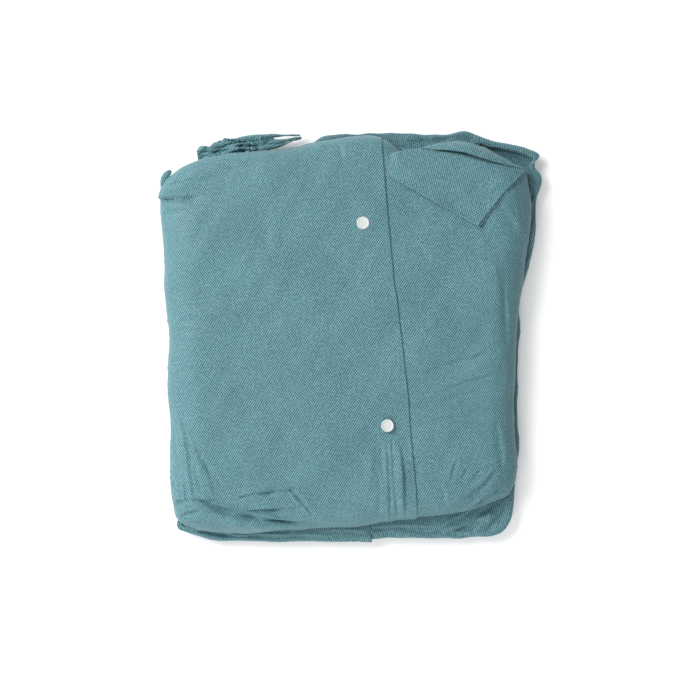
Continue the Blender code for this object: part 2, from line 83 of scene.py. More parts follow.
def curveThrough(rows):
    # a smooth curve through the rows, read at shares of its length
    points = np.array(rows, float)
    steps = np.linalg.norm(np.diff(points[:, :2], axis=0), axis=1)
    stations = np.concatenate([[0.0], np.cumsum(steps)]) / steps.sum()
    slopes = np.gradient(points, stations, axis=0)

    def at(share):
        share = np.asarray(share, float)
        i = np.clip(np.searchsorted(stations, share, side="right") - 1, 0, len(points) - 2)
        span = (stations[i + 1] - stations[i])[..., None]
        k = (share - stations[i])[..., None] / span
        start = (2 * k**3 - 3 * k**2 + 1) * points[i] + (k**3 - 2 * k**2 + k) * span * slopes[i]
        return start + (3 * k**2 - 2 * k**3) * points[i + 1] + (k**3 - k**2) * span * slopes[i + 1]

    return at


def waves(points, length, seed, count=14):
    # smooth unevenness of about this wavelength, mostly between -1.5 and 1.5
    random = np.random.RandomState(seed)
    total = np.zeros(points.shape[:-1])
    for _ in range(count):
        way = random.normal(size=3)
        way *= 2 * math.pi / (length * random.uniform(0.7, 1.4)) / np.linalg.norm(way)
        total += np.sin(points @ way + random.uniform(0, 2 * math.pi))
    return total / math.sqrt(count / 2)


def smoothStep(value, low, high):
    share = np.clip((value - low) / (high - low), 0, 1)
    return share * share * (3 - 2 * share)


def crinkles(points, length, seed):
    # thin uneven ridges that come and go, from 0 to 1
    ridge = np.clip(1 - np.abs(waves(points, length, seed)) / 0.32, 0, 1) ** 1.5
    return ridge * smoothStep(waves(points, length * 2.7, seed + 1), 0.0, 1.1)


creaseForm = {
    "uneven": 0.25,
    "unevenLength": 0.018,
    "widths": (0.7, 0.5),  # shares of the half width: at the ends, and more in the middle
    "steep": 0.6,
    "gentle": 1.5,
    "endFade": 0.10,
    # beside the line the cloth rises again: height, distance, narrowness
    "shoulder": (0.45, 1.5, 2.2),
}


def creaseRelief(points, creases):
    # soft troughs and ridges along listed lines, steeper on the left of the way they run
    # columns: x and y of each end, bend, half width, depth (a trough where positive)
    x, y = points[..., 0], points[..., 1]
    unevenness = 1 + creaseForm["uneven"] * waves(points, creaseForm["unevenLength"], 5)
    ends, middle = creaseForm["widths"]
    high, away, narrow = creaseForm["shoulder"]
    endFade = creaseForm["endFade"]
    total = np.zeros(x.shape)
    for x1, y1, x2, y2, bend, width, depth in creases:
        length = math.hypot(x2 - x1, y2 - y1)
        alongX, alongY = (x2 - x1) / length, (y2 - y1) / length
        share = ((x - x1) * alongX + (y - y1) * alongY) / length
        inside = np.clip(share, 0, 1)
        aside = (y - y1) * alongX - (x - x1) * alongY - bend * 4 * inside * (1 - inside)
        beyond = (share - inside) * length
        reach = width * (ends + middle * np.sin(math.pi * inside))
        sharp = aside / (np.where(aside > 0, creaseForm["steep"], creaseForm["gentle"]) * reach)
        fade = np.sin(math.pi * (endFade + (1 - 2 * endFade) * inside)) ** 0.7
        ended = np.exp(-((beyond / reach) ** 2))
        shoulder = high * np.exp(-((aside / reach - away) ** 2) * narrow)
        total -= depth * fade * unevenness * ended * (np.exp(-sharp * sharp) - shoulder)
    return total


def outward(grid):
    normals = np.cross(np.gradient(grid, axis=1), np.gradient(grid, axis=0))
    normals /= np.maximum(np.linalg.norm(normals, axis=2, keepdims=True), 1e-12)
    return normals


def evenly(grid, rows, columns, crowding):
    # the same surface on a grid of even steps, its lowest rows crowded for the sharp creases there
    def along(lines, shares):
        made = []
        for line in lines:
            steps = np.linalg.norm(np.diff(line, axis=0), axis=1)
            length = np.concatenate([[0.0], np.cumsum(steps)])
            wanted = shares * length[-1]
            made.append(np.stack([np.interp(wanted, length, line[:, k]) for k in range(3)], axis=1))
        return np.array(made)

    strength, upTo = crowding
    even = np.linspace(0, 1, 400)
    density = 1 + (strength - 1) * smoothStep(-even, -upTo - 0.04, -upTo)
    reached = np.concatenate([[0.0], np.cumsum(density[1:])])
    rowShares = np.interp(np.linspace(0, reached[-1], rows), reached, even)
    across = along(grid, np.linspace(0, 1, columns))
    return along(across.transpose(1, 0, 2), rowShares).transpose(1, 0, 2)


def clothMap(grid, row, column, level=True):
    # the cloth's own flat coordinates in metres, kept level with x and y at one row and column or free
    across = np.linalg.norm(np.diff(grid, axis=1), axis=2)
    across = np.concatenate([np.zeros((len(grid), 1)), np.cumsum(across, axis=1)], axis=1)
    along = np.linalg.norm(np.diff(grid, axis=0), axis=2)
    along = np.concatenate([np.zeros((1, grid.shape[1])), np.cumsum(along, axis=0)], axis=0)
    u, v = across - across[:, column : column + 1], along - along[row : row + 1]
    if level:
        u, v = u + grid[:, column, 0][:, None], v + grid[row, :, 1][None, :]
    return np.stack([u, v], axis=2)


def foldMap(grid, out, straight):
    # a folded edge's flat coordinates: level on its upper layer and unrolled outwards from there
    flat = grid[..., :2].copy()
    way = out[len(grid) // 2, :, :2]
    way = way / np.linalg.norm(way, axis=1, keepdims=True)
    reached = np.cumsum(np.linalg.norm(np.diff(grid[straight:], axis=0), axis=2), axis=0)
    flat[straight + 1 :] = flat[straight] + way * reached[..., None]
    return flat


def tubeGrid(rows, along, around, swell=0.0, farSide=None):
    # a flattened tube, from x, y and z of its middle, half its width and half its height
    line = curveThrough(rows)(np.linspace(0, 1, along))
    ahead = np.gradient(line[:, :2], axis=0)
    ahead /= np.linalg.norm(ahead, axis=1, keepdims=True)
    side = np.stack([-ahead[:, 1], ahead[:, 0]], axis=1)
    turn = np.linspace(0, 2 * math.pi, around + 1)
    wide = line[:, 3][:, None] + swell + 0 * turn[None, :]
    if farSide:
        reach = (np.interp(line[:, 0], *zip(*farSide)) - line[:, 1]) / side[:, 1]
        wide = np.where(np.cos(turn)[None, :] > 0, reach[:, None] + swell, wide)
    tall = line[:, 4][:, None] + 0.6 * swell
    x = line[:, 0][:, None] + wide * np.cos(turn)[None, :] * side[:, 0][:, None]
    y = line[:, 1][:, None] + wide * np.cos(turn)[None, :] * side[:, 1][:, None]
    z = line[:, 2][:, None] + tall * np.sin(turn)[None, :]
    return np.stack([x, y, z], axis=2)


def turnedHem(grid, flat, columns, depth):
    # the last columns' cloth, folded back under itself
    out = outward(grid)
    turned, turnedFlat = [], []
    edge, before = grid[:, -1], grid[:, -2]
    way = edge - before
    way /= np.linalg.norm(way, axis=1, keepdims=True)
    for angle in np.radians((45, 90, 135, 180)):
        moved = way * math.sin(angle) - out[:, -1] * (1 - math.cos(angle))
        turned.append(edge + moved * depth / 2)
        turnedFlat.append(flat[:, -1] + [depth * angle / 2, 0])
    for k in range(1, columns):
        turned.append(grid[:, -1 - k] - out[:, -1 - k] * depth)
        turnedFlat.append(2 * flat[:, -1] + [depth * 1.57, 0] - flat[:, -1 - k])
    grid = np.concatenate([grid, np.stack(turned, axis=1)], axis=1)
    return grid, np.concatenate([flat, np.stack(turnedFlat, axis=1)], axis=1)


def thicken(piece, thickness):
    wall = piece.modifiers.new("thickness", "SOLIDIFY")
    wall.thickness = thickness
    wall.offset = -1


def fillEnds(piece, within):
    # closes the open ends that lie within this distance of the middle
    bm = bmesh.new()
    bm.from_mesh(piece.data)
    ends = [edge for edge in bm.edges if edge.is_boundary and edge.verts[0].co.xy.length < within]
    bmesh.ops.holes_fill(bm, edges=ends, sides=0)
    return bm


def sheetObject(name, parts, material, thickness, closed=False):
    # grids of cloth laid through their points, each with its own map, and given a thickness inwards
    bm = bmesh.new()
    mapLayer = bm.loops.layers.uv.new("clothMap")
    for grid, flat in parts:
        rows, columns = grid.shape[:2]
        before = len(bm.faces)
        corners = bmesh.ops.create_grid(bm, x_segments=columns - 1, y_segments=rows - 1, size=0.5)["verts"]
        order = np.array([vertex.co[:2] for vertex in corners])
        j = np.rint((order[:, 0] + 0.5) * (columns - 1)).astype(int)
        i = np.rint((order[:, 1] + 0.5) * (rows - 1)).astype(int)
        bm.verts.index_update()
        first = corners[0].index
        for vertex, place in zip(corners, grid[i, j]):
            vertex.co = place
        flatOf = flat[i, j]
        for face in list(bm.faces)[before:]:
            for loop in face.loops:
                loop[mapLayer].uv = flatOf[loop.vert.index - first]
    if closed:
        bmesh.ops.remove_doubles(bm, verts=bm.verts, dist=1e-6)
    mesh = bpy.data.meshes.new(name)
    bm.to_mesh(mesh)
    bm.free()
    mesh.materials.append(material)
    mesh.shade_smooth()
    made = newObject(name, mesh)
    if thickness:
        thicken(made, thickness)
    return made


def clothArea(grid):
    across, along = np.diff(grid, axis=1)[:-1], np.diff(grid, axis=0)[:, :-1]
    return float(np.linalg.norm(np.cross(across, along), axis=2).sum())


# Materials

class Signal:
    # a socket of a shader node that can be used in sums

    def __init__(self, tree, socket):
        self.tree, self.socket = tree, socket

    def node(self, kind, settings=None, **inputs):
        made = self.tree.nodes.new("ShaderNode" + kind)
        for key, value in (settings or {}).items():
            setattr(made, key, value)
        for key, value in inputs.items():
            place = int(key[1:]) if key[0] == "i" and key[1:].isdigit() else key.replace("_", " ")
            if isinstance(value, Signal):
                self.tree.links.new(value.socket, made.inputs[place])
            else:
                made.inputs[place].default_value = value
        return made

    def maths(self, operation, first, second=0.0):
        made = self.node("Math", {"operation": operation}, i0=first, i1=second)
        return Signal(self.tree, made.outputs[0])

    def __add__(self, other):
        return self.maths("ADD", self, other)

    def __radd__(self, other):
        return self.maths("ADD", other, self)

    def __sub__(self, other):
        return self.maths("SUBTRACT", self, other)

    def __rsub__(self, other):
        return self.maths("SUBTRACT", other, self)

    def __mul__(self, other):
        return self.maths("MULTIPLY", self, other)

    def __rmul__(self, other):
        return self.maths("MULTIPLY", other, self)

    def cosine(self):
        return self.maths("COSINE", self)

    def between(self, low, high, start=0.0, end=1.0):
        limits = {"From_Min": low, "From_Max": high, "To_Min": start, "To_Max": end}
        made = self.node("MapRange", {"interpolation_type": "SMOOTHSTEP"}, Value=self, **limits)
        return Signal(self.tree, made.outputs[0])

    def noise(self, scale, detail=2.0, roughness=0.5):
        made = self.node("TexNoise", None, Vector=self, Scale=scale, Detail=detail, Roughness=roughness)
        return Signal(self.tree, made.outputs[0])

    def mix(self, first, second):
        # a colour between two, by this value
        made = self.node("Mix", {"data_type": "RGBA"}, i0=self, i6=first, i7=second)
        return Signal(self.tree, made.outputs[2])


def newMaterial(name):
    material = bpy.data.materials.new(name)
    material.use_nodes = True
    tree = material.node_tree
    surface = tree.nodes["Principled BSDF"]
    return material, tree, surface


nonwoven = {
    "pitchAcross": 0.00240,  # diagonals of the bond pattern's lozenges
    "pitchAlong": 0.00328,
    "grain": math.radians(-5.5),
    "puff": (0.170, 0.372, 0.414, 1.0),
    "dot": (0.006, 0.036, 0.047, 1.0),
    "fibreScale": 1900.0,
    "mottleScale": 160.0,
    "cloudScale": 22.0,
    "puffHeight": 0.00006,
    "fibreHeight": 0.00004,
    "roughness": 0.72,
    "dotRoughness": 0.45,
    "sheen": 0.12,
    "sheenRoughness": 0.5,
    "specular": 0.35,
    # how far and how often the rows of bonds stray
    "stray": 0.0012,
    "strayScale": 90.0,
    # bonds: where they start and end on the lattice's wave, and how often some are faint
    "bond": (-0.48, 0.42),
    "faintScale": 420.0,
    # brightness: base, fibres, mottle, cloud
    "light": (0.62, 0.30, 0.28, 0.18),
}


def nonwovenCloth(name, settings, grain=0.0, paintedShade=1.0):
    material, tree, surface = newMaterial(name)
    mapNode = tree.nodes.new("ShaderNodeUVMap")
    mapNode.uv_map = "clothMap"
    flat = Signal(tree, mapNode.outputs[0])
    turned = flat.node("Mapping", None, Vector=flat, Rotation=(0.0, 0.0, settings["grain"] + grain))
    place = Signal(tree, turned.outputs[0])
    stray = place.node("TexNoise", None, Vector=place, Scale=settings["strayScale"], Detail=1.0)
    aside, by = Signal(tree, stray.outputs[1]), (settings["stray"], settings["stray"], 0.0)
    strayed = place.node("VectorMath", {"operation": "MULTIPLY_ADD"}, i0=aside, i1=by, i2=place)
    split = place.node("SeparateXYZ", None, Vector=Signal(tree, strayed.outputs[0]))
    across, along = Signal(tree, split.outputs[0]), Signal(tree, split.outputs[1])
    lattice = (across * (2 * math.pi / settings["pitchAcross"])).cosine()
    lattice = lattice * (along * (2 * math.pi / settings["pitchAlong"])).cosine()
    strength = place.noise(settings["faintScale"], 1.0).between(0.30, 0.62, 0.60, 1.0)
    bond = (0.0 - lattice).between(*settings["bond"]) * strength
    fibres = place.noise(settings["fibreScale"], 3.0, 0.7)
    mottle = place.noise(settings["mottleScale"], 3.0, 0.6)
    cloud = place.noise(settings["cloudScale"], 2.0)
    # both colours are scaled down here for a painted shade: darker copies of the same cloth for pieces that
    # lie in shade
    puff, dot = [tuple(part * paintedShade for part in settings[key][:3]) + (1.0,) for key in ("puff", "dot")]
    colour = bond.mix(puff, dot)
    base, fibreShare, mottleShare, cloudShare = settings["light"]
    light = base + fibreShare * fibres + mottleShare * mottle + cloudShare * cloud
    grey = Signal(tree, light.node("CombineColor", None, i0=light, i1=light, i2=light).outputs[0])
    lit = colour.node("Mix", {"data_type": "RGBA", "blend_type": "MULTIPLY"}, i0=1.0, i6=colour, i7=grey)
    tree.links.new(lit.outputs[2], surface.inputs["Base Color"])
    rough = bond.between(0.0, 1.0, settings["roughness"], settings["dotRoughness"])
    tree.links.new(rough.socket, surface.inputs["Roughness"])
    height = (lattice * 0.5 + 0.5) * settings["puffHeight"] + fibres * settings["fibreHeight"]
    bump = height.node("Bump", None, Height=height, Distance=1.0, Strength=1.0)
    tree.links.new(bump.outputs[0], surface.inputs["Normal"])
    surface.inputs["Sheen Weight"].default_value = settings["sheen"]
    surface.inputs["Sheen Roughness"].default_value = settings["sheenRoughness"]
    surface.inputs["Specular IOR Level"].default_value = settings["specular"]
    return material


snapPlastic = {
    "colour": (0.650, 0.660, 0.670, 1.0),
    "shadow": (0.590, 0.600, 0.610, 1.0),
    "roughness": 0.36,
    "roughMore": 0.12,
    "bumpHeight": 0.00001,
    "scales": (900.0, 2400.0, 3000.0),  # colour, roughness, bump
}


def snapMaterial(settings):
    material, tree, surface = newMaterial("snapPlastic")
    placeNode = tree.nodes.new("ShaderNodeTexCoord")
    place = Signal(tree, placeNode.outputs["Object"])
    speckle, grain, bumps = [place.noise(scale) for scale in settings["scales"]]
    colour = speckle.between(0.35, 0.75).mix(settings["colour"], settings["shadow"])
    tree.links.new(colour.socket, surface.inputs["Base Color"])
    rough = settings["roughness"] + settings["roughMore"] * grain
    tree.links.new(rough.socket, surface.inputs["Roughness"])
    bump = rough.node("Bump", None, Height=bumps * settings["bumpHeight"], Distance=1.0)
    tree.links.new(bump.outputs[0], surface.inputs["Normal"])
    return material


clothFront = nonwovenCloth("nonwovenFront", nonwoven)
clothCollar = nonwovenCloth("nonwovenCollar", nonwoven, grain=math.radians(28))
# the same cloth painted 3 % darker, a slight painted shade for the folds round the sides, the back, the right
# sleeve and its cuff
clothSidePaintedShade = nonwovenCloth("nonwovenSidePaintedShade", nonwoven, grain=math.radians(27), paintedShade=0.97)
# the same cloth painted 14 % darker, a painted shade for the hidden folded layers and the back neck fold,
# which lie low in recesses
clothInnerPaintedShade = nonwovenCloth("nonwovenInnerPaintedShade", nonwoven, grain=math.radians(-24), paintedShade=0.86)
whiteSnap = snapMaterial(snapPlastic)
print("materials made")


# The pack's form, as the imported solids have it

pack = {
    "width": 0.345,
    "length": 0.365,
    "crown": 0.041,
    "sagAcross": 0.003,
    "sagAlong": 0.003,
    "roundLeft": 0.038,
    "roundRight": 0.032,
    "roundBottom": 0.022,
    "roundTop": 0.016,
    "wrapRadius": 0.016,
    "wrapRun": 0.024,
    "turnRadius": 0.0032,
    "turnEnd": 105.0,
    "turnFade": 0.004,
    "turnFlare": 0.2,
    "turnSteps": 8,
    "cornerFade": (0.012, 0.035),  # how far from the lower right corner the turned rims fade out
    # grid lines before the front is laid out evenly
    "roundRows": 14,
    "openRows": 130,
    "roundColumns": 16,
    "openColumns": {"right": 90, "left": 70},
    "wrapColumns": (12, 16),
    # x, y, height at which the side turns inwards
    "leftSide": inMetres([
        (-164, -183, 17), (-171.6, -175, 16), (-174, -164, 15), (-175.8, -130, 13), (-177.8, -75, 13),
        (-177, -33, 13), (-179, 36, 13), (-183.3, 113, 14), (-184.8, 140, 16), (-180, 154.5, 20),
    ]),
    "rightSide": inMetres([
        (157, -156, 17.8), (162, -140, 17.5), (162, -80, 17.5), (164, 20, 17.5), (171.5, 65, 17.5),
        (177, 125, 18), (173.5, 163, 20),
    ]),
    "bottomSide": inMetres([
        (-164, -183, 17), (-148, -189.5, 17.5), (-94, -190, 17.5), (-19, -184.3, 17.5), (65, -177.5, 17.5),
        (120, -169, 17.5), (157, -156, 17.8),
    ]),
    "topSide": inMetres([
        (-180, 154.5, 20), (-160, 166.8, 20), (-131, 175.6, 20), (-60, 183.5, 20), (-20, 191.5, 20),
        (30, 193, 20), (56, 186.5, 20), (98, 190.5, 20), (120, 189, 20), (150, 175, 20), (173.5, 163, 20),
    ]),
    "closingEdge": inMetres([
        (30, 194), (36.9, 110.6), (43, 47), (44.8, 40), (56.3, -60), (57.6, -85.4), (63.7, -148),
        (65, -177.5),
    ]),
    "crowding": (2.2, 0.17),
    # the largest creases: x and y of each end, half width, depth
    "creases": inMetres([
        (-188, 135, -148, 136.5, 6, 2.6), (-145, -161, -42, -178, 6, 2.2), (-105, -151, -56, -148, 7, -1.6),
        (-56, -148, -36, -168, 7, -1.6), (42, -102, 49, -170, 8, -2), (20, -108, 30, -170, 7, -1.2),
        (90, -176, 146, -148, 6, 2.2), (100, -60, 152, -38, 8, 1.6),
    ]),
}

leftSide, rightSide = curveThrough(pack["leftSide"]), curveThrough(pack["rightSide"])
bottomSide, topSide = curveThrough(pack["bottomSide"]), curveThrough(pack["topSide"])


def mainCreases(point):
    place = point[..., :2]
    depth = np.zeros(place.shape[:-1])
    for x1, y1, x2, y2, width, deepest in pack["creases"]:
        start, along = np.array([x1, y1]), np.array([x2 - x1, y2 - y1])
        share = np.clip((place - start) @ along / (along @ along), 0, 1)
        away = np.linalg.norm(place - start - share[..., None] * along, axis=-1) / width
        fade = np.minimum(1.0, 4 * np.minimum(share, 1 - share) + 0.25)
        depth += deepest * fade * np.exp(-away * away)
    return depth


def rise(distance, width):
    leftOver = 1 - np.clip(distance / width, 0, 1)
    return np.sqrt(1 - leftOver**2)


def skin(s, t):
    # the top of the pack, s across from the left and t along from the bottom
    s, t = np.broadcast_arrays(np.asarray(s, float), np.asarray(t, float))
    a, b = s[..., None], t[..., None]
    corners = (1 - a) * (1 - b) * bottomSide(0.0) + a * (1 - b) * bottomSide(1.0)
    corners = corners + (1 - a) * b * topSide(0.0) + a * b * topSide(1.0)
    point = (1 - b) * bottomSide(s) + b * topSide(s) + (1 - a) * leftSide(t) + a * rightSide(t) - corners
    level = pack["crown"] - pack["sagAcross"] * (2 * s - 1) ** 2 - pack["sagAlong"] * (2 * t - 1) ** 2
    level = level - mainCreases(point)
    swell = rise(s * pack["width"], pack["roundLeft"]) * rise((1 - s) * pack["width"], pack["roundRight"])
    swell = swell * rise(t * pack["length"], pack["roundBottom"])
    swell = swell * rise((1 - t) * pack["length"], pack["roundTop"])
    point[..., 2] += (level - point[..., 2]) * swell
    return point


def placeOnSkin(x, y):
    x, y = np.broadcast_arrays(np.asarray(x, float), np.asarray(y, float))
    s, t = np.full(x.shape, 0.5), np.full(x.shape, 0.5)
    for _ in range(30):
        point = skin(s, t)
        s = np.clip(s + (x - point[..., 0]) / pack["width"], 0, 1)
        t = np.clip(t + (y - point[..., 1]) / pack["length"], 0, 1)
    return s, t


def closingShare(t):
    # how far across the closing edge lies
    rows = sorted((y, x) for x, y in pack["closingEdge"])
    ys, xs = [row[0] for row in rows], [row[1] for row in rows]
    low, high = np.zeros(t.shape), np.ones(t.shape)
    for _ in range(22):
        middle = (low + high) / 2
        point = skin(middle, t)
        before = point[..., 0] < np.interp(point[..., 1], ys, xs)
        low, high = np.where(before, middle, low), np.where(before, high, middle)
    return low


def roundedShares(width, length, count):
    return width * (1 - np.cos(np.linspace(0, math.pi / 2, count, endpoint=False))) / length


def rowShares():
    low = roundedShares(pack["roundBottom"], pack["length"], pack["roundRows"])
    high = 1 - roundedShares(pack["roundTop"], pack["length"], pack["roundRows"])[::-1]
    middle = np.linspace(pack["roundBottom"] / pack["length"], high[0], pack["openRows"], endpoint=False)
    return np.concatenate([low, middle, high])


def turnAngles():
    return np.radians(np.linspace(0, pack["turnEnd"], pack["turnSteps"] + 1)[1:])


def turnedRows(row, inward, flare, corner):
    # the rows that follow a rim as the cloth turns down and in under itself, less so round a corner
    radius = pack["turnRadius"]
    share = corner * np.clip(1 - (np.median(row[:, 2]) - row[:, 2]) / pack["turnFade"], 0, 1)
    rows = []
    for angle in turnAngles():
        turned = row.copy()
        turned[:, 1] += inward * radius * ((1 - math.cos(angle)) * share - flare * angle * (1 - share))
        turned[:, 2] -= radius * math.sin(angle) * share
        rows.append(turned)
    return rows


def wrapUnder(t):
    # the cloth that goes round the left side and under the pack
    x, y, z = leftSide(t)
    radius, (under, around) = pack["wrapRadius"], pack["wrapColumns"]
    points = []
    for share in np.linspace(1, 0, under, endpoint=False):
        points.append([x + radius + pack["wrapRun"] * share, y, 0.0])
    for turn in np.radians(np.linspace(90, 0, around, endpoint=False)):
        points.append([x + radius * (1 - math.cos(turn)), y, z * (1 - math.sin(turn))])
    return points


def frontGrid(side, rows, columns, overlap=0.0):
    # one front's surface, with its turned rims
    shares = rowShares()
    width, rounding, opened = pack["width"], pack["roundColumns"], pack["openColumns"][side]
    angles = turnAngles()
    lines = []
    for t, edge in zip(shares, closingShare(shares)):
        if side == "right":
            rounded = roundedShares(pack["roundLeft"], width, rounding)
            s = np.concatenate([rounded, np.linspace(pack["roundLeft"] / width, edge, opened)])
            lines.append(np.concatenate([wrapUnder(t), skin(s, np.full(s.shape, t))]))
            continue
        rounded = 1 - roundedShares(pack["roundRight"], width, rounding)[::-1]
        s = np.concatenate([np.linspace(edge - overlap / width, rounded[0], opened, endpoint=False), rounded])
        line = skin(s, np.full(s.shape, t))
        radius = pack["turnRadius"] * smoothStep(t, 0.0, pack["cornerFade"][1])
        inset, drop = radius * (1 - np.cos(angles)), radius * np.sin(angles)
        turned = line[-1] - np.stack([inset, 0 * inset, drop], axis=1)
        lines.append(np.concatenate([line, turned]))
    flare, corner = pack["turnFlare"], np.ones(len(lines[0]))
    if side == "left":
        # the turned rims of the two sides fade out where they meet
        turns = len(angles)
        fromCorner = np.linalg.norm(lines[0][:-turns] - lines[0][-turns - 1], axis=1)
        flare, corner[-turns:] = 0.0, 0.0
        corner[:-turns] = smoothStep(fromCorner, 0.0, pack["cornerFade"][0])
    grid = turnedRows(lines[0], 1, flare, corner)[::-1] + lines + turnedRows(lines[-1], -1, flare, corner)
    return evenly(np.array(grid), rows, columns, pack["crowding"])


# The two fronts

rightFront = {
    "rows": 345,
    "columns": 262,
    "hemColumns": 11,
    "hemDepth": 0.0007,
    "tuck": 0.1345,  # its place along the left side, which bulges above it and is drawn in below it
    # depth, where it starts, is full and ends, all from the tuck
    "bulge": (0.0014, -0.0010, 0.0012, 0.024),
    "drawnIn": (0.0012, -0.0012, 0.0010, 0.030),
    "bandFade": 0.004,
    # the small rolled fold at the shoulder: x, y, z, half its width and half its height
    "roll": inMetres([
        (-183, 144, 16.5, 1.2, 1.2), (-182.2, 150, 18.5, 2.6, 1.8), (-180.6, 155.2, 19.5, 3.2, 2),
        (-177.2, 159.2, 19.5, 3, 1.8), (-174.2, 161.8, 19, 1.6, 1.2),
    ]),
    # x and y of each end, bend, half width, depth
    "creases": inMetres([
        (-188.2, 134.3, -148, 136.2, -0.8, 1.6, 3.1), (-184.3, 119.3, -161, 122.2, 0.5, 2.2, 0.6),
        (-174.6, 6.8, -145.5, 5.8, 0.6, 1.8, 0.8), (-175.6, -2.9, -153.3, -5.8, -0.5, 1.8, 0.6),
        (-173.6, -35.9, -143.6, -30.1, 0.8, 2.4, 0.6), (-174.6, -80.5, -162, -163.9, 1.5, 1.9, 1.5),
        (-167.8, -72.8, -152.3, -158.1, 1.2, 2, -1.1), (-161, -85.4, -141.6, -158.1, 1, 2, 1.2),
        (-168.8, -114.5, -159.1, -169.8, 0.8, 1.7, -1), (-155.2, -99.9, -131.9, -154.2, 1.5, 2.4, -0.9),
        (-148.4, -111.6, -120.3, -148.4, 1, 2, 0.8), (-173.6, -134.8, -169.8, -145.5, 0.3, 2.2, 1.9),
        (-172.7, -163, -157.1, -158.1, 0.3, 1.9, 2.4), (-164.9, -174.6, -147.4, -168.8, 0.6, 1.9, 2.4),
        (-162, -181.4, -142.6, -178.5, -0.4, 1.6, 0.9), (-106.7, -154.8, -57.2, -148.4, 0.8, 1.7, 2.6),
        (-38.8, -169.8, -58.2, -147.9, -0.8, 1.7, 1.7), (-122.2, -157.1, -100.9, -155.2, 0.3, 1.8, 0.5),
        (-98.9, -168.3, -46.6, -164.9, -1, 1.6, 2.2), (-108.6, -164.9, -85.4, -162.5, 0.4, 2, -0.5),
        (-144.5, -158.5, -48.5, -181.4, -4.2, 2.4, 3.5), (-71.8, -178.5, 1.9, -181.9, -0.6, 2, 1.6),
        (-154.2, -157.6, -131.9, -159.6, 0.5, 1.6, 2.2), (-131.9, -161, -58.2, -172.7, -2, 2.6, -0.9),
        (-116.4, -178.5, -85.4, -183.3, -0.6, 2.2, -0.8), (-82.5, -176.5, -43.7, -184.3, -0.5, 1.6, 0.7),
        (-48.5, -178.5, -4.9, -177.5, 0.6, 2.2, -0.6), (34, -104.8, 36.9, -178.5, 0.6, 1.8, -1.2),
        (45.6, -172.7, 40.3, -99.9, 0.6, 1.6, 1.2), (48.5, -107.7, 51.9, -178.5, 0.6, 1.9, -1.2),
        (27.2, -129, 29.1, -179.4, 0.5, 2.2, 0.6), (21.3, -114.5, 15.5, -158.1, 0.8, 2.4, -0.35),
        (36.9, -117.4, 62.1, -119.3, 0.4, 1.4, 0.7), (40.7, -129, 59.2, -131, 0.3, 1.3, -0.4),
        (-160, 15.5, -4.9, 12.6, 3, 6, 0.9), (-145.5, 84.4, -19.4, 72.8, 3, 9, -0.8),
        (-116.4, -56.3, 0, -34, -4, 10, 0.8), (-142.6, -168.8, -36.9, -188.2, -3, 4.2, -1.8),
        (-9.7, -158.1, 21.3, -163, 0.6, 2, 0.6), (-48.5, -152.3, -14.6, -161, 0.8, 2.6, -0.5),
        (-159.1, 148.4, -106.7, 165.9, -1.5, 2.6, 0.5), (-97, 171.7, -19.4, 182.4, -1.2, 3, 0.45),
        (-48.5, 179.4, 21.3, 184.3, -1, 3, 0.5), (-11.6, 189.2, -6.8, 171.7, 0.5, 2.4, 0.5),
        (-176.5, 146.5, -163, 149.4, 0.4, 1.6, 0.9), (-85.4, 128, -79.5, 84.4, 1.5, 6, 0.5),
        (-126.1, -99.9, -48.5, -111.6, 2, 7, -0.6), (-48.5, -70.8, 21.3, -80.5, 1.5, 6, 0.5),
    ]),
}
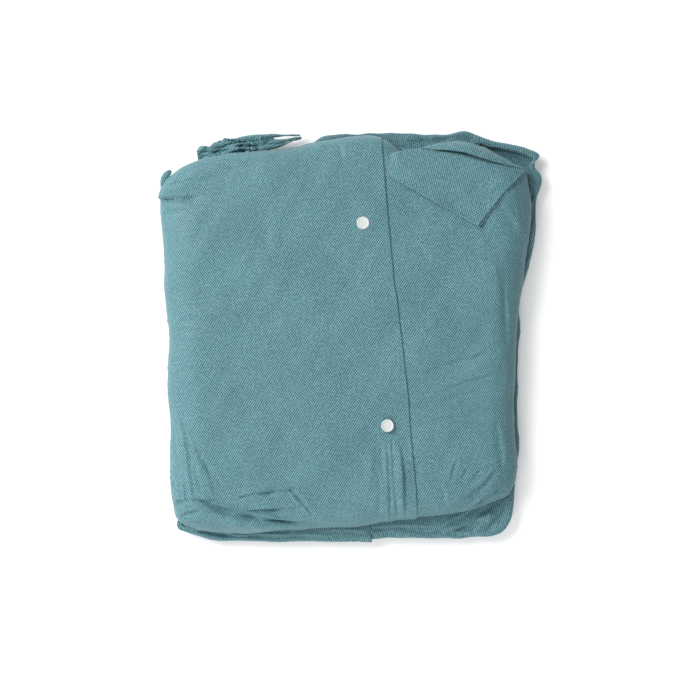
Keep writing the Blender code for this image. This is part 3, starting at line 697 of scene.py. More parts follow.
leftFront = {
    "rows": 345,
    "columns": 156,
    "overlap": 0.030,
    "depth": 0.0012,
    "collarDepth": 0.0013,  # its depth under the collar leaf, reached over the next two places along
    "underCollar": (0.085, 0.125),
    "creases": inMetres([
        (71.8, -118.3, 83.4, -121.7, 0.3, 1.3, 0.9), (60.1, -117.4, 68.9, -115.4, 0.2, 1.3, 0.6),
        (98, -137.7, 102.8, -120.3, 0.4, 1.4, 0.8), (107.7, -139.7, 115.4, -124.2, 0.4, 1.4, 0.8),
        (116.4, -141.6, 126.1, -129, 0.3, 1.4, 0.7), (111.6, -157.1, 141.6, -130, -2.5, 2.6, 1.6),
        (88.3, -184.8, 114.5, -167.8, -1.2, 2, 2.2), (112.5, -169.8, 146.5, -147.9, -1, 2.1, 2),
        (123.2, -174.6, 148.4, -164.9, 0.8, 2.8, -1.5), (98.9, -176.5, 122.2, -163, 0.8, 2.2, -0.8),
        (130, -163, 151.3, -155.2, 0.4, 2, 0.9), (75.7, -34, 143.6, -13.6, 1.5, 2, 1.2),
        (83.4, -42.7, 145.5, -23.3, 1.2, 2.2, -0.6), (87.3, -53.4, 146.5, -34.9, 1.2, 1.9, 1.2),
        (92.2, -65, 144.5, -53.4, 0.8, 2.2, -0.6), (116.4, -22.3, 150.4, -2.9, 0.8, 2, 0.6),
        (56.3, -63.1, 140.6, -59.2, 1.5, 2, 1.2), (60.1, -72.8, 118.3, -65, 1, 1.8, -0.6),
        (67.9, -81.5, 146.5, -68.9, -1.2, 2, 1.1), (77.6, -92.2, 135.8, -85.4, 0.8, 2.4, -0.5),
        (71.8, -97, 116.4, -99.9, -0.6, 1.6, 0.5), (126.1, 101.9, 145.5, 35.9, 2, 5, -0.8),
        (60.1, 35.9, 116.4, 24.3, 1.5, 4, 0.7), (66, 1, 131.9, 6.8, -1.5, 4, -0.7),
        (150.4, 45.6, 152.3, -7.8, 0.5, 2.4, 0.9), (153.3, -22.3, 152.3, -80.5, 0.4, 2.4, -0.6),
        (142.6, -80.5, 148.4, -129, 0.8, 2.6, 0.9), (48.5, 94.1, 87.3, 72.8, 1, 3, 0.6),
        (87.3, 84.4, 137.7, 72.8, 1.2, 2.6, -0.5), (116.4, 94.1, 150.4, 98, 0.8, 2.6, 0.6),
        (145.5, 128, 165.9, 94.1, 1, 3, 0.8), (160, 142.6, 168.8, 72.8, 0.8, 2.6, -0.7),
        (87.3, -138.7, 93.1, -163, 0.6, 2, 0.5), (72.8, -148.4, 108.6, -156.2, 0.8, 2.4, -0.5),
    ]),
}
unevenness = {
    "broad": 0.0009,
    "broadLength": 0.075,
    "middle": 0.00018,
    "middleLength": 0.026,
    "crinkle": 0.00030,
    "crinkleLength": 0.020,
    "sideCrinkle": 0.0008,
    "sideLength": 0.012,
    "stretch": (1.0, 1.0, 0.35),
    # steepness from which the cloth counts as level, and as lying under the pack
    "level": (0.35, 0.95),
    "under": (0.5, 0.9),
}


def clothRelief(points, out, creases, seed):
    # everything that the cloth does beyond the pack's smooth form, outwards
    level = smoothStep(out[..., 2], *unevenness["level"])
    onGround = smoothStep(-out[..., 2], *unevenness["under"]) * smoothStep(-points[..., 2], -0.004, -0.001)
    relief = creaseRelief(points, creases) * level ** 0.5
    relief = relief + unevenness["broad"] * waves(points, unevenness["broadLength"], seed)
    relief = relief + unevenness["middle"] * waves(points, unevenness["middleLength"], seed + 2)
    relief = relief + unevenness["crinkle"] * crinkles(points, unevenness["crinkleLength"], seed + 4)
    sideways = crinkles(points * unevenness["stretch"], unevenness["sideLength"], seed + 7)
    return (relief + unevenness["sideCrinkle"] * (1 - level) * sideways) * (1 - onGround)


def neckHollow(points):
    # how far the left front lies below the collar's roll, beyond it
    x, y = points[..., 0], points[..., 1]
    beyond = smoothStep(y - np.interp(x, *zip(*collar["roll"])), *collar["neckRamp"])
    (start, opened), (closing, end) = collar["neckFrom"], collar["neckTo"]
    return collar["neckDepth"] * beyond * smoothStep(x, start, opened) * smoothStep(-x, -end, -closing)


def slitLens(x):
    low, high = collar["slit"][0][0], collar["slit"][-1][0]
    return np.sin(math.pi * np.clip((x - low) / (high - low), 0, 1)) ** 0.8


def slitHollow(points):
    # how far the leaf falls away under the stand's edge
    x, y = points[..., 0], points[..., 1]
    beyond = smoothStep(y - np.interp(x, *zip(*collar["slit"])), *collar["slitRamp"])
    beforeRoll = smoothStep(np.interp(x, *zip(*collar["roll"])) - y, *collar["rollRamp"])
    return collar["slitDepth"] * beyond * beforeRoll * slitLens(x)


def finishPiece(piece, nodes):
    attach(piece, "root")
    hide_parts(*nodes)


def buildRightFront(settings):
    grid = frontGrid("right", settings["rows"], settings["columns"])
    out = outward(grid)
    flat = clothMap(grid, settings["rows"] // 2, settings["columns"] - 1)
    relief = clothRelief(grid, out, settings["creases"], 11)
    above = grid[..., 1] - settings["tuck"]

    def band(beyond, depth, start, full, end):
        return depth * smoothStep(beyond, start, full) * smoothStep(-beyond, -end, -settings["bandFade"])

    tuck = band(above, *settings["bulge"]) - band(-above, *settings["drawnIn"])
    atSide = smoothStep(-out[..., 0], 0.15, 0.75) * smoothStep(grid[..., 2], 0.002, 0.009)
    grid = grid + out * (relief + tuck * atSide)[..., None]
    grid[..., 2] = np.maximum(grid[..., 2], 0.0)
    grid, flat = turnedHem(grid, flat, settings["hemColumns"], settings["hemDepth"])
    roll = tubeGrid(settings["roll"], 20, 24)
    parts = [(grid, flat), (roll, clothMap(roll, 10, 12, False))]
    piece = sheetObject("rightFront", parts, clothFront, 0.0)
    finishPiece(piece, ["right_front"])
    print("right front", round(clothArea(grid), 4))


def buildLeftFront(settings):
    grid = frontGrid("left", settings["rows"], settings["columns"], settings["overlap"])
    out = outward(grid)
    flat = clothMap(grid, settings["rows"] // 2, 0)
    underCollar = smoothStep(grid[..., 1], *settings["underCollar"])
    depth = settings["depth"] + (settings["collarDepth"] - settings["depth"]) * underCollar
    relief = clothRelief(grid, out, settings["creases"], 11)
    grid = grid + out * (relief - depth - neckHollow(grid) - slitHollow(grid))[..., None]
    piece = sheetObject("leftFront", [(grid, flat)], clothFront, 0.0)
    finishPiece(piece, ["left_front"])
    print("left front", round(clothArea(grid), 4))


# Collar

collar = {
    "edge": inMetres([
        (26.5, 161.5), (34.8, 157), (123.5, 107), (148, 139), (164, 156), (171.2, 162.2),
    ]),
    "underShows": (0.0019, -0.0010),  # how far the under ply shows past the leaf's end
    "step": 0.0013,
    "rows": 58,
    "crowding": 1.6,
    "thickness": 0.0005,
    "underLift": 0.0004,
    "underCurl": 0.0006,
    "upperLift": 0.0011,
    "upperCurl": 0.0008,
    "waves": 0.00035,
    "crinkles": 0.0003,
    # the roll at the neck and the slit between leaf and stand
    "roll": inMetres([
        (26.5, 173), (38.2, 175.9), (68.8, 182.3), (85.3, 186.4), (96, 188.4), (106.4, 189.1), (117, 187),
        (129.9, 183.2), (144, 174.4), (158.1, 167.5), (170, 163.2), (180, 161),
    ]),
    "rollRadius": 0.0018,
    # the left front dips beyond the roll: depth, ramp across, and where along x it opens and closes
    "neckDepth": 0.0080,
    "neckRamp": (-0.0015, 0.0045),
    "neckFrom": (0.034, 0.060),
    "neckTo": (0.088, 0.112),
    "slit": inMetres([(80, 179.7), (95, 178.4), (110.6, 176), (133.9, 168.8), (150, 165)]),
    "slitDepth": 0.0044,
    "slitRamp": (-0.0008, 0.0018),
    "rollRamp": (0.0004, 0.0038),
    # the leaf goes in under the right front: from, to and how deep
    "diveFrom": 0.0480,
    "diveTo": 0.0340,
    "dive": 0.0024,
    "creases": inMetres([
        (65, 156, 108, 140, 1, 3, 0.45), (78, 145, 118, 160, -1.2, 2.6, -0.4),
        (95, 125, 133, 148, 1.5, 2.6, 0.45), (108, 120, 129, 130, 0.6, 1.8, 0.4),
        (50, 166, 80, 164, 1, 3, -0.35), (120, 135, 148, 150, 1, 2.2, -0.45),
        (131, 152, 153, 161, 0.8, 2, 0.4),
    ]),
}
stand = {
    "edge": inMetres([
        (69, 181.8), (76, 181.2), (83, 180.3), (95, 179.6), (110.6, 177.7), (123, 174.2), (133.9, 170.6),
        (142, 168.2), (150, 166), (160, 164), (169, 162.6),
    ]),
    "step": 0.0011,
    "rows": 24,
    "crowding": 1.3,
    "thickness": 0.0005,
    "lift": 0.0021,
    "slitLift": 0.0022,
    "seated": 0.0006,  # how much closer it lies to the leaf at the roll
    "unevenness": 0.0003,
}


def collarGrid(edgeRows, settings):
    # from the free edge up to the roll at the neck
    edge = np.array(edgeRows)
    xs = []
    for x1, x2 in zip(edge[:-1, 0], edge[1:, 0]):
        xs.append(np.linspace(x1, x2, max(3, round((x2 - x1) / settings["step"])), endpoint=False))
    xs = np.concatenate(xs + [edge[-1:, 0]])
    s, low = placeOnSkin(xs, np.interp(xs, edge[:, 0], edge[:, 1]))
    high = placeOnSkin(xs, np.interp(xs, *zip(*collar["roll"])))[1]
    drops = (1 - np.linspace(0, 1, settings["rows"])) ** settings["crowding"]
    t = high - drops[:, None] * np.maximum(high - low, 0.0005)[None, :]
    return skin(np.broadcast_to(s, t.shape), t), smoothStep(1 - high, 0.0, 0.03)


def plyGrid(edgeRows, settings):
    # a ply laid on the pack: points, the way out, map, share of the roll, distance from its edge
    grid, share = collarGrid(edgeRows, settings)
    flat = clothMap(grid, settings["rows"] // 2, grid.shape[1] // 2)
    flat[..., 0] = grid[..., 0]
    fromEdge = np.linspace(0, 1, settings["rows"])[:, None] * np.ones(grid.shape[:2])
    return grid, outward(grid), flat, share, fromEdge


def rolledOver(grid, flat, share):
    # rows that carry the cloth over the roll and down behind it
    out, ahead = outward(grid)[-1], grid[-1] - grid[-2]
    ahead /= np.linalg.norm(ahead, axis=1, keepdims=True)
    radius = (collar["rollRadius"] * share + 0.0001)[:, None]
    turned, turnedFlat = [], []
    for angle in np.radians((25, 50, 75, 100, 125)):
        turned.append(grid[-1] + radius * (ahead * math.sin(angle) - out * (1 - math.cos(angle))))
        turnedFlat.append(flat[-1] + [0, 1] * radius * angle)
    return np.concatenate([grid, turned]), np.concatenate([flat, turnedFlat])


def buildCollarPly(name, node, edgeRows, settings, lift, curl):
    grid, out, flat, share, fromEdge = plyGrid(edgeRows, settings)
    wavy = 1 + 0.6 * waves(grid, 0.030, 31)
    raised = lift + curl * np.exp(-fromEdge / 0.10) * wavy
    diving = smoothStep(-grid[..., 0], -settings["diveFrom"], -settings["diveTo"])
    raised = raised - settings["dive"] * diving * (1 + lift / settings["upperLift"]) / 2
    relief = creaseRelief(grid, settings["creases"]) + settings["waves"] * waves(grid, 0.024, 33)
    relief = relief + settings["crinkles"] * crinkles(grid, 0.016, 35)
    grid = grid + out * (raised + relief * (1 - diving) - slitHollow(grid))[..., None]
    grid, flat = rolledOver(grid, flat, share)
    piece = sheetObject(name, [(grid, flat)], clothCollar, settings["thickness"])
    finishPiece(piece, [node])
    print(name, round(clothArea(grid), 5))
    return piece


def buildCollar(settings):
    right, down = settings["underShows"]
    edge = settings["edge"]
    under = [(x + right * (x > 0.1), y + down * (x > 0.1)) for x, y in edge]
    lift, curl = settings["underLift"], settings["underCurl"]
    underCollar = buildCollarPly("underCollar", "under_collar", under, settings, lift, curl)
    lift, curl = settings["upperLift"], settings["upperCurl"]
    upperCollar = buildCollarPly("upperCollar", "upper_collar", edge, settings, lift, curl)


def buildStand(settings):
    grid, out, flat, share, fromEdge = plyGrid(settings["edge"], settings)
    raised = settings["lift"] + settings["slitLift"] * slitLens(grid[..., 0]) * np.exp(-fromEdge / 0.30)
    raised = raised - settings["seated"] * smoothStep(fromEdge, 0.35, 0.90)
    relief = settings["unevenness"] * (waves(grid, 0.020, 41) + crinkles(grid, 0.012, 43))
    grid = grid + out * (raised + relief * smoothStep(grid[..., 0], 0.075, 0.090))[..., None]
    grid, flat = rolledOver(grid, flat, share)
    piece = sheetObject("collarStand", [(grid, flat)], clothCollar, settings["thickness"])
    finishPiece(piece, ["collar_stand"])
    print("collar stand", round(clothArea(grid), 5))


# Folds that stick out round the pack

foldSettings = {
    "reach": 0.020,
    "step": 0.0012,
    "section": 72,
    "straight": 22,
    "thickness": 0.0006,
    "wander": 0.0007,
    "wanderLength": 0.050,
    "buckle": 0.0004,
    "buckleLength": 0.009,
    "crinkle": 0.0012,
    "crinkleLength": 0.008,
    "squeeze": 0.32,  # the smaller, the longer the crinkles run along the fold
    "fade": (0.005, 0.014),  # distances from the outer edge over which the unevenness fades
    "outermost": 0.0010,
}
folds = {
    "lowerRightFront": {
        "node": "lower_right_front",
        "flat": (0.185, 0.052),
        "rows": inMetres([
            (-169, -179.5, 7.6, 12.5), (-169.2, -185.8, 7.6, 12.8), (-159, -191.8, 7.6, 13),
            (-142, -195.6, 7.3, 13.8), (-127.1, -198, 7.3, 13.8), (-83, -199.6, 7.3, 13.8),
            (-19, -200.1, 7.3, 13.8), (21.3, -200, 7.3, 14),
        ]),
        "creases": inMetres([
            (-156.2, -188.2, -106.7, -195.2, 1, 1.3, 2.2), (-110.6, -194.5, -19.4, -195.5, 0.8, 1.6, 1.2),
            (-85.4, -191.6, -48.5, -193.5, -0.5, 1.4, -0.8), (-19.4, -190.1, 18.4, -192.1, 0.6, 1.6, 0.9),
        ]),
    },
    "lowerLeftFront": {
        "node": "lower_left_front",
        "flat": (0.350, 0.064),
        "reach": 0.027,
        "rows": inMetres([
            (12, -196, 8, 13.2), (21.6, -197, 7.6, 13.5), (58, -196.2, 7.3, 13.8), (88, -197.2, 7.3, 13.8),
            (115, -196.5, 7.3, 13.8), (137, -194.4, 7.3, 13.8), (150, -188, 7.3, 13.6),
            (157, -179, 7.3, 13.4), (159.2, -160, 7.3, 12.8), (163.8, -120, 7.3, 13.8), (164, -62, 7.3, 13.8),
            (165.6, -15, 7.3, 13.8), (165, 30, 7.3, 13.8),
        ]),
        "creases": inMetres([
            (23.3, -187.2, 79.5, -186.2, 1, 1.6, 1.6), (33, -193, 87.3, -191.6, -0.8, 1.7, -1.2),
            (67.9, -193, 116.4, -186.2, 1, 1.4, 1.4), (145.5, -183.3, 154.2, -158.1, 0.8, 1.6, 1.2),
            (84.4, -188.2, 118.3, -169.8, -1, 1.8, 2.4), (95.1, -193, 131.9, -177.5, 0.8, 1.8, 2),
            (122.2, -189.2, 143.6, -165.9, 1.4, 3.2, -2.4), (131.9, -190.1, 151.3, -169.8, 1, 1.8, 2),
            (124.2, -177.5, 142.6, -171.7, 0.6, 2.6, -1.8), (101.9, -187.2, 126.1, -184.3, 0.5, 1.5, 0.9),
        ]),
    },
    "leftSleeve": {
        "node": "left_sleeve",
        "flat": (0.215, 0.052),
        "rows": inMetres([
            (165.5, 34, 7.3, 13.5), (172.5, 63, 7.3, 13.8), (179.5, 94, 7.3, 13.8), (182.5, 133, 7.3, 13.4),
            (185, 158, 7.3, 12.6), (180, 165, 7.3, 12.8), (179.5, 170.5, 7.3, 13.2),
            (183.8, 176.5, 7.5, 13.8), (173, 182.8, 8, 14.7), (156, 187.2, 8, 14.7), (138.5, 190.5, 8, 14.7),
            (121.5, 197, 8, 14.7),
        ]),
        # where the sleeve opens: the shares of the path, the depth and how far the layer below gives way
        "hollow": (0.62, 0.97, 0.0128, 0.0060),
        "creases": inMetres([
            (130, 183.3, 166.8, 171.7, 1, 0.9, -2.4), (141.6, 179.4, 171.7, 164.9, 1.2, 1, -2.6),
            (153.3, 171.7, 170.7, 160, 0.6, 0.9, -1.6),
        ]),
    },
    "backNeck": {
        "node": "back_neck",
        "flat": (0.215, 0.052),
        "rows": inMetres([
            (130, 192, 8.5, 15), (121.5, 197.4, 8.5, 15.5), (113.5, 200.6, 8.5, 16), (89, 198.6, 8.5, 16),
            (50, 198.8, 8.5, 16), (14.6, 199, 8.5, 16), (-28, 195.6, 8.5, 16), (-42, 187, 8, 16),
            (-86, 177, 7.5, 15.8),
        ]),
    },
}


def drawnIn(x, y, z, across, along):
    # a place moved towards the middle of the pack
    x, y = x * (1 - across / (pack["width"] / 2)), y * (1 - along / (pack["length"] / 2))
    return np.stack([x, y, z], axis=-1)


def buildFold(name, fold, settings, material, seed):
    path = curveThrough(fold["rows"])
    rows = np.array(fold["rows"])
    length = np.linalg.norm(np.diff(rows[:, :2], axis=0), axis=1).sum()
    share = np.linspace(0, 1, round(length / settings["step"]))
    line = path(share)
    reach, straight = fold.get("reach", settings["reach"]), settings["straight"]
    radius, middle = (line[:, 3] - line[:, 2]) / 2, (line[:, 3] + line[:, 2]) / 2
    turns = np.radians(np.linspace(90, -90, settings["section"] - 2 * straight))
    inset = [radius + (reach - radius) * (1 - k / straight) for k in range(straight)]
    height = [line[:, 3]] * straight
    lower = [line[:, 2]] * straight
    if "hollow" in fold:
        start, end, depth, below = fold["hollow"]
        deep = np.sin(math.pi * np.clip((share - start) / (end - start), 0, 1)) ** 0.6
        height = [line[:, 3] - depth * deep * smoothStep(row - radius, 0.0003, 0.0026) for row in inset]
        lower = [line[:, 2] - below * deep * (k + 1) / straight for k in range(straight)]
    for turn in turns:
        inset.append(radius * (1 - math.cos(turn)))
        height.append(middle + radius * math.sin(turn))
    inset += [radius + (reach - radius) * (k + 1) / straight for k in range(straight)]
    height += lower
    inset, height = np.array(inset), np.array(height)
    grid = drawnIn(line[None, :, 0], line[None, :, 1], height, inset, inset)
    out = outward(grid)
    middleRow = settings["section"] // 2
    if (out[middleRow, :, :2] * grid[middleRow, :, :2]).sum() < 0:
        grid = grid[:, ::-1]
        out = outward(grid)
        inset = inset[:, ::-1]
    flat = foldMap(grid, out, straight)
    near = smoothStep(-inset, -settings["fade"][1], -settings["fade"][0])
    lengthwise = clothMap(grid, middleRow, grid.shape[1] // 2, False)
    lengthwise = np.stack([lengthwise[..., 0] * settings["squeeze"], lengthwise[..., 1], 0 * inset], axis=2)
    relief = settings["wander"] * waves(grid * [1, 1, 0.3], settings["wanderLength"], seed)
    relief = relief + settings["buckle"] * waves(lengthwise, settings["buckleLength"], seed + 1)
    relief = relief - settings["crinkle"] * crinkles(lengthwise, settings["crinkleLength"], seed + 2)
    relief = relief - 0.6 * settings["crinkle"] * crinkles(grid, 0.013, seed + 3)
    upper = smoothStep(out[..., 2], 0.2, 0.8)
    relief = np.minimum(relief * near, settings["outermost"])
    relief = relief + creaseRelief(grid, fold.get("creases", [])) * upper
    grid = grid + out * relief[..., None]
    piece = sheetObject(name, [(grid, flat)], material, settings["thickness"])
    finishPiece(piece, [fold["node"]])
    print(name, round(clothArea(grid), 5), "of", round(fold["flat"][0] * fold["flat"][1], 5))


# Hidden layers and back

layers = {
    "around": 620,
    "rounding": 0.010,
    "rims": [(0.0340, 0.0450), (0.0165, 0.0330), (0.0150, 0.0280), (0.0072, 0.0250)],  # height, inset
    "base": (0.0013, 0.0400),
    # the fold edges that show: height, half thickness, inset
    "lobes": [(0.0054, 0.0018, 0.0017), (0.0036, 0.0012, 0.0022), (0.0020, 0.0009, 0.0034)],
    "lobePoints": 9,
    "lobeForm": (0.95, 1.6),
    # unevenness of the fold edges: size and length
    "shift": (0.0011, 0.060),
    "fineShift": (0.0005, 0.015),
    "tilt": (0.00035, 0.045),
    # along the left side, where the front wraps under
    "nearLeft": (0.150, 0.168),
    "leftInset": 0.0130,
    "leftBaseInset": 0.0090,
    "leftLower": 0.0030,
    "openCorner": 0.0054,  # how far the layers lie lower under the hollow at the neck
    "openFrom": ((0.125, 0.150), (0.125, 0.145)),
}
backPanel = {
    "around": 236,
    "rounding": 0.004,
    "rings": 40,
    "inset": 0.0060,
    "insetLeft": 0.0430,
    "insetRamp": (0.100, 0.160),
    "unevenness": 0.00018,
    "thickness": 0.0011,
}


def packOutline(count, rounding):
    # the pack's outline seen from above, with its corners rounded
    n = 240
    shares = np.linspace(0, 1, n, endpoint=False)
    loop = np.concatenate([bottomSide(shares), rightSide(shares), topSide(1 - shares), leftSide(1 - shares)])
    steps = np.linalg.norm(np.diff(np.concatenate([loop, loop[:1]])[:, :2], axis=0), axis=1)
    length = np.concatenate([[0.0], np.cumsum(steps)])
    wanted = np.linspace(0, length[-1], count, endpoint=False)
    closed = np.concatenate([loop, loop[:1]])
    even = np.stack([np.interp(wanted, length, closed[:, k]) for k in range(3)], axis=1)
    reach = max(1, round(rounding / (length[-1] / count)))
    kernel = np.hanning(2 * reach + 3)[1:-1]
    kernel /= kernel.sum()
    padded = np.concatenate([even[-reach:], even, even[:reach]])
    return np.stack([np.convolve(padded[:, k], kernel, mode="valid") for k in range(3)], axis=1)


def buildFoldedLayers(settings, material):
    # stacked fold edges round the base, closed above and below where the fronts and the back hide them
    outline = packOutline(settings["around"], settings["rounding"])
    nearLeft = smoothStep(-outline[:, 0], *settings["nearLeft"])
    even = np.ones(len(outline))
    level = [z * even for z, _ in settings["rims"]]
    inset = [i * even for _, i in settings["rims"]]
    (shiftBy, shiftLength), (fineBy, fineLength) = settings["shift"], settings["fineShift"]
    (tiltBy, tiltLength), (tall, wide) = settings["tilt"], settings["lobeForm"]
    for k, (middle, radius, base) in enumerate(settings["lobes"]):
        shift = shiftBy * waves(outline, shiftLength, 51 + k) + fineBy * waves(outline, fineLength, 61 + k)
        tilt = tiltBy * waves(outline, tiltLength, 71 + k)
        for turn in np.radians(np.linspace(80, -80, settings["lobePoints"])):
            level.append(middle + tilt + radius * math.sin(turn) * tall)
            inset.append(base + shift + radius * (1 - math.cos(turn)) * wide)
    lowest, deepest = settings["base"]
    level, inset = np.array(level + [lowest * even]), np.array(inset + [deepest * even])
    more = settings["leftInset"] + settings["leftBaseInset"] * smoothStep(-level, -0.0060, -0.0015)
    inset[3:] = inset[3:] + (more * nearLeft)[3:]
    level[1] = level[1] - settings["leftLower"] * nearLeft
    opened = [smoothStep(outline[:, k], *settings["openFrom"][k]) for k in (0, 1)]
    level[3] = level[3] - settings["openCorner"] * opened[0] * opened[1]
    level = np.concatenate([level, level[:, :1]], axis=1)
    inset = np.concatenate([inset, inset[:, :1]], axis=1)
    outline = np.concatenate([outline, outline[:1]])
    grid = drawnIn(outline[None, :, 0], outline[None, :, 1], np.maximum(level, lowest), inset, inset)
    out = outward(grid)
    if (out[6, :, :2] * grid[6, :, :2]).sum() < 0:
        grid = grid[:, ::-1]
    flat = clothMap(grid, 6, grid.shape[1] // 2, False)
    piece = sheetObject("foldedLayers", [(grid, flat)], material, 0.0, closed=True)
    bm = fillEnds(piece, 1.0)
    bmesh.ops.recalc_face_normals(bm, faces=bm.faces)
    bm.to_mesh(piece.data)
    bm.free()
    finishPiece(piece, ["folded_layers"])
    print("folded layers made")


def buildBack(settings, material):
    outline = packOutline(settings["around"], settings["rounding"])
    near = smoothStep(-outline[:, 0], *settings["insetRamp"])
    inset = settings["inset"] + (settings["insetLeft"] - settings["inset"]) * near
    rim = drawnIn(outline[:, 0], outline[:, 1], np.zeros(len(outline)), inset, inset)
    rings = np.linspace(1.0, 0.02, settings["rings"])
    grid = np.array([rim * [share, share, 1] for share in rings])
    grid = np.concatenate([grid, grid[:, :1]], axis=1)
    lifted = settings["unevenness"] * np.abs(waves(grid, 0.050, 81))
    grid[..., 2] += lifted * smoothStep(-rings, -0.995, -0.9)[:, None]
    if outward(grid)[10, 10, 2] > 0:
        grid = grid[:, ::-1]
    flat = grid[..., :2].copy()
    piece = sheetObject("backPanel", [(grid, flat)], material, 0.0, closed=True)
    bm = fillEnds(piece, 0.05)
    bm.to_mesh(piece.data)
    bm.free()
    thicken(piece, settings["thickness"])
    finishPiece(piece, ["back"])
    print("back made", round(clothArea(grid), 4))


# Right sleeve: its folds and its gathered cuff

sleeve = {
    # its folds beside the cuff: x, y and z of the middle, half the width and half the height
    "folds": [
        inMetres([
            (-110.6, 192.1, 11.5, 2.2, 3.2), (-97, 194.5, 11.7, 2.6, 3.2), (-81.5, 195.8, 11.5, 2.3, 3.2),
            (-65, 196.6, 11.2, 1.6, 3), (-48.5, 197, 11, 0.7, 2.4),
        ]),
        inMetres([
            (-101.9, 189.2, 11.2, 2.7, 3), (-85.4, 189.5, 11.2, 3, 3), (-72.8, 190.2, 11, 2.4, 2.9),
            (-58.2, 192.5, 11, 1.5, 2.7), (-47.5, 194.5, 10.8, 0.7, 2.2),
        ]),
        inMetres([
            (-97, 182.4, 11.2, 3.5, 3), (-85.4, 184.3, 11.2, 3.5, 3), (-72.8, 186.4, 11, 2.4, 2.8),
            (-62.1, 189.2, 11, 1.4, 2.6), (-56.3, 191.1, 10.8, 0.7, 2.2),
        ]),
    ],
    "along": 90,
    "around": 48,
    "crumple": 0.00036,
    "thickness": 0.0004,
}
cuff = {
    "rings": inMetres([
        (-148, 173.5, 12, 8, 3.4), (-136, 175.5, 12.2, 9.4, 4.2), (-120, 179, 12.3, 9.8, 4.4),
        (-106, 183.8, 12.2, 9, 4.2), (-93, 188, 12, 6, 3.6), (-81, 191.5, 11.8, 2.8, 2.6),
        (-74, 193.5, 11.6, 1, 1.2),
    ]),
    # the gathered edge that shows, x and y
    "farSide": inMetres([
        (-148.4, 181.2), (-144.5, 184.2), (-140.7, 185.2), (-132.9, 185.8), (-129, 189.2), (-121.3, 190.2),
        (-118, 193.8), (-106.7, 193.8), (-93.1, 195.8), (-80, 195), (-74, 194.2),
    ]),
    "along": 124,
    "around": 180,
    "gathers": 19,
    "gatherDepth": 0.0010,
    "heights": (0.0072, 0.0185),  # between which it stays
    "crumple": 0.0016,
    "thickness": 0.0004,
    "creases": inMetres([
        (-110.6, 186.2, -91.2, 186.2, 0.5, 1.1, 3.2), (-117.4, 179.4, -90.2, 182.4, 0.6, 1.5, 3.6),
        (-138.7, 178.5, -118.3, 182.4, 0.8, 1, 2), (-133.9, 183.3, -122.2, 187.2, -0.5, 0.9, 1.6),
        (-146.5, 179.4, -135.8, 182.4, 0.3, 0.9, 1.4), (-124.2, 185.3, -109.6, 190.1, 0.6, 1, 2),
        (-116.4, 192.1, -98.9, 191.1, -0.4, 1, 1.8), (-102.8, 182.4, -85.4, 184.3, 0.4, 1.2, -1.6),
        (-97, 190.1, -79.5, 193, 0.4, 1, 1.6),
    ]),
}


def buildSleeve(settings, material):
    parts, area = [], 0.0
    for k, rows in enumerate(settings["folds"]):
        grid = tubeGrid(rows, settings["along"], settings["around"])
        flat = clothMap(grid, settings["along"] // 2, settings["around"] // 4, False)
        rough = settings["crumple"] * (waves(grid, 0.017, 91 + k) - crinkles(grid, 0.009, 94 + k))
        grid = grid + outward(grid) * rough[..., None]
        grid[:, -1] = grid[:, 0]
        area += clothArea(grid)
        parts.append((grid, flat))
    piece = sheetObject("rightSleeve", parts, material, settings["thickness"], closed=True)
    finishPiece(piece, ["right_sleeve"])
    print("sleeve folds", round(area, 6))


def buildCuff(settings, material):
    along, around = settings["along"], settings["around"]
    shares, turn = np.linspace(0, math.pi, along)[:, None], np.linspace(0, 2 * math.pi, around + 1)[None, :]
    wander = 0.8 * np.sin(2.3 * shares) + 0.4 * np.sin(7.1 * shares)
    pleats = np.abs(np.sin(settings["gathers"] / 2 * turn + wander + 0.7 * np.sin(3 * turn)))
    swell = settings["gatherDepth"] * (0.5 - pleats)
    grid = tubeGrid(settings["rings"], along, around, swell, settings["farSide"])
    out = outward(grid)
    flat = clothMap(grid, along // 2, around // 4, False)
    rough = 0.5 * waves(grid, 0.014, 95) - crinkles(grid, 0.013, 97) - 0.5 * crinkles(grid, 0.008, 99)
    pressed = creaseRelief(grid, settings["creases"]) * smoothStep(out[..., 2], -0.2, 0.4)
    grid = grid + out * (settings["crumple"] * rough + pressed)[..., None]
    grid[:, -1] = grid[:, 0]
    grid[..., 2] = np.clip(grid[..., 2], *settings["heights"])
    piece = sheetObject("rightCuff", [(grid, flat)], material, settings["thickness"], closed=True)
    finishPiece(piece, ["right_cuff"])
    print("cuff", round(clothArea(grid), 6))


# Snap caps

snaps = {
    "places": {"snapUpper": ("snap_upper", 0.0126, 0.1103), "snapLower": ("snap_lower", 0.0363, -0.0857)},
    "lift": 0.0003,
    "steps": 72,
    # radius and height of the cap's section, from the outside of its foot to the middle of its dish
    "section": inMetres([
        (5.6, 0), (6.1, 0.3), (6.2, 0.8), (6.1, 1.4), (5.7, 1.78), (5.3, 1.8), (5, 1.65), (4.8, 1.45),
        (4.6, 1.4), (2, 1.38), (0, 1.38),
    ]),
}


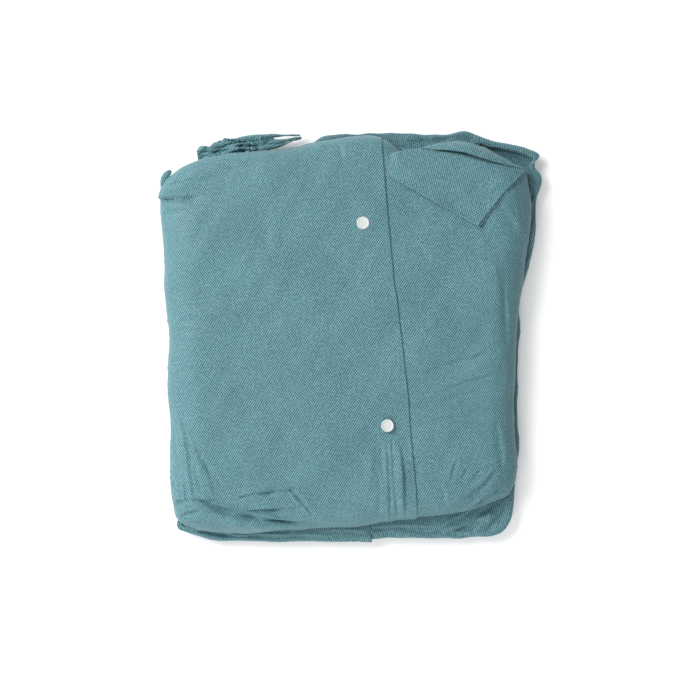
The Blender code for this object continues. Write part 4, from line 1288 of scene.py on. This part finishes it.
def buildSnaps(settings, material):
    for name, (node, x, y) in settings["places"].items():
        s, t = placeOnSkin(x, y)
        foot = skin(s, t)
        across, along = skin(s + 0.01, t) - skin(s - 0.01, t), skin(s, t + 0.01) - skin(s, t - 0.01)
        up = np.cross(across, along)
        up /= np.linalg.norm(up)
        first = across / np.linalg.norm(across)
        second = np.cross(up, first)
        bm = bmesh.new()
        line = [bm.verts.new((radius, 0.0, height)) for radius, height in settings["section"]]
        edges = [bm.edges.new(pair) for pair in zip(line, line[1:])]
        turned = {"cent": (0, 0, 0), "axis": (0, 0, 1), "angle": 2 * math.pi, "steps": settings["steps"]}
        bmesh.ops.spin(bm, geom=line + edges, use_merge=True, **turned)
        bmesh.ops.remove_doubles(bm, verts=bm.verts, dist=1e-6)
        ends = [edge for edge in bm.edges if edge.is_boundary]
        bmesh.ops.holes_fill(bm, edges=ends, sides=0)
        bmesh.ops.recalc_face_normals(bm, faces=bm.faces)
        for vertex in bm.verts:
            a, b, c = vertex.co
            vertex.co = foot + a * first + b * second + (c + settings["lift"]) * up
        mesh = bpy.data.meshes.new(name)
        bm.to_mesh(mesh)
        bm.free()
        mesh.materials.append(material)
        mesh.shade_smooth()
        mesh.set_sharp_from_angle(angle=math.radians(50))
        finishPiece(newObject(name, mesh), [node])
    print("snaps made")


buildRightFront(rightFront)
buildLeftFront(leftFront)
buildCollar(collar)
buildStand(stand)
for name, seed in (("lowerRightFront", 101), ("lowerLeftFront", 111), ("leftSleeve", 121)):
    buildFold(name, folds[name], foldSettings, clothSidePaintedShade, seed)
buildFold("backNeck", folds["backNeck"], foldSettings, clothInnerPaintedShade, 131)
buildFoldedLayers(layers, clothInnerPaintedShade)
buildBack(backPanel, clothSidePaintedShade)
buildSleeve(sleeve, clothSidePaintedShade)
buildCuff(cuff, clothSidePaintedShade)
buildSnaps(snaps, whiteSnap)


# Floor and light

studio = {
    "floorSize": 40.0,
    "floorGlow": 0.18,
    "floorColour": (0.96, 0.96, 0.96, 1.0),
    "floorRoughness": 0.9,
    "floorDepth": 0.0002,  # just under the coat
    "world": 0.38,
    "lights": [
        # name, place, size, power
        ("key", (-1.60, 1.10, 1.60), 1.6, 69.0),
        ("fill", (-0.40, -1.80, 1.20), 1.4, 25.0),
    ],
}


def buildStudio(settings):
    bm = bmesh.new()
    bmesh.ops.create_grid(bm, x_segments=1, y_segments=1, size=settings["floorSize"] / 2)
    mesh = bpy.data.meshes.new("floor")
    bm.to_mesh(mesh)
    bm.free()
    floor = newObject("floor", mesh)
    floor.location = (0, 0, -settings["floorDepth"])
    material, _, surface = newMaterial("paleFloor")
    surface.inputs["Base Color"].default_value = settings["floorColour"]
    surface.inputs["Roughness"].default_value = settings["floorRoughness"]
    surface.inputs["Emission Color"].default_value = (1.0, 1.0, 1.0, 1.0)
    surface.inputs["Emission Strength"].default_value = settings["floorGlow"]
    mesh.materials.append(material)
    world = bpy.data.worlds.new("studio")
    world.use_nodes = True
    background = world.node_tree.nodes["Background"]
    background.inputs["Color"].default_value = (1.0, 1.0, 1.0, 1.0)
    background.inputs["Strength"].default_value = settings["world"]
    bpy.context.scene.world = world
    bpy.context.scene.view_settings.view_transform = "Standard"
    for name, place, size, power in settings["lights"]:
        data = bpy.data.lights.new(name, "AREA")
        data.size, data.energy = size, power
        light = newObject(name, data)
        light.location = place
        light.rotation_mode = "QUATERNION"
        light.rotation_quaternion = light.location.to_track_quat("Z", "Y")
    print("floor and light placed")


buildStudio(studio)
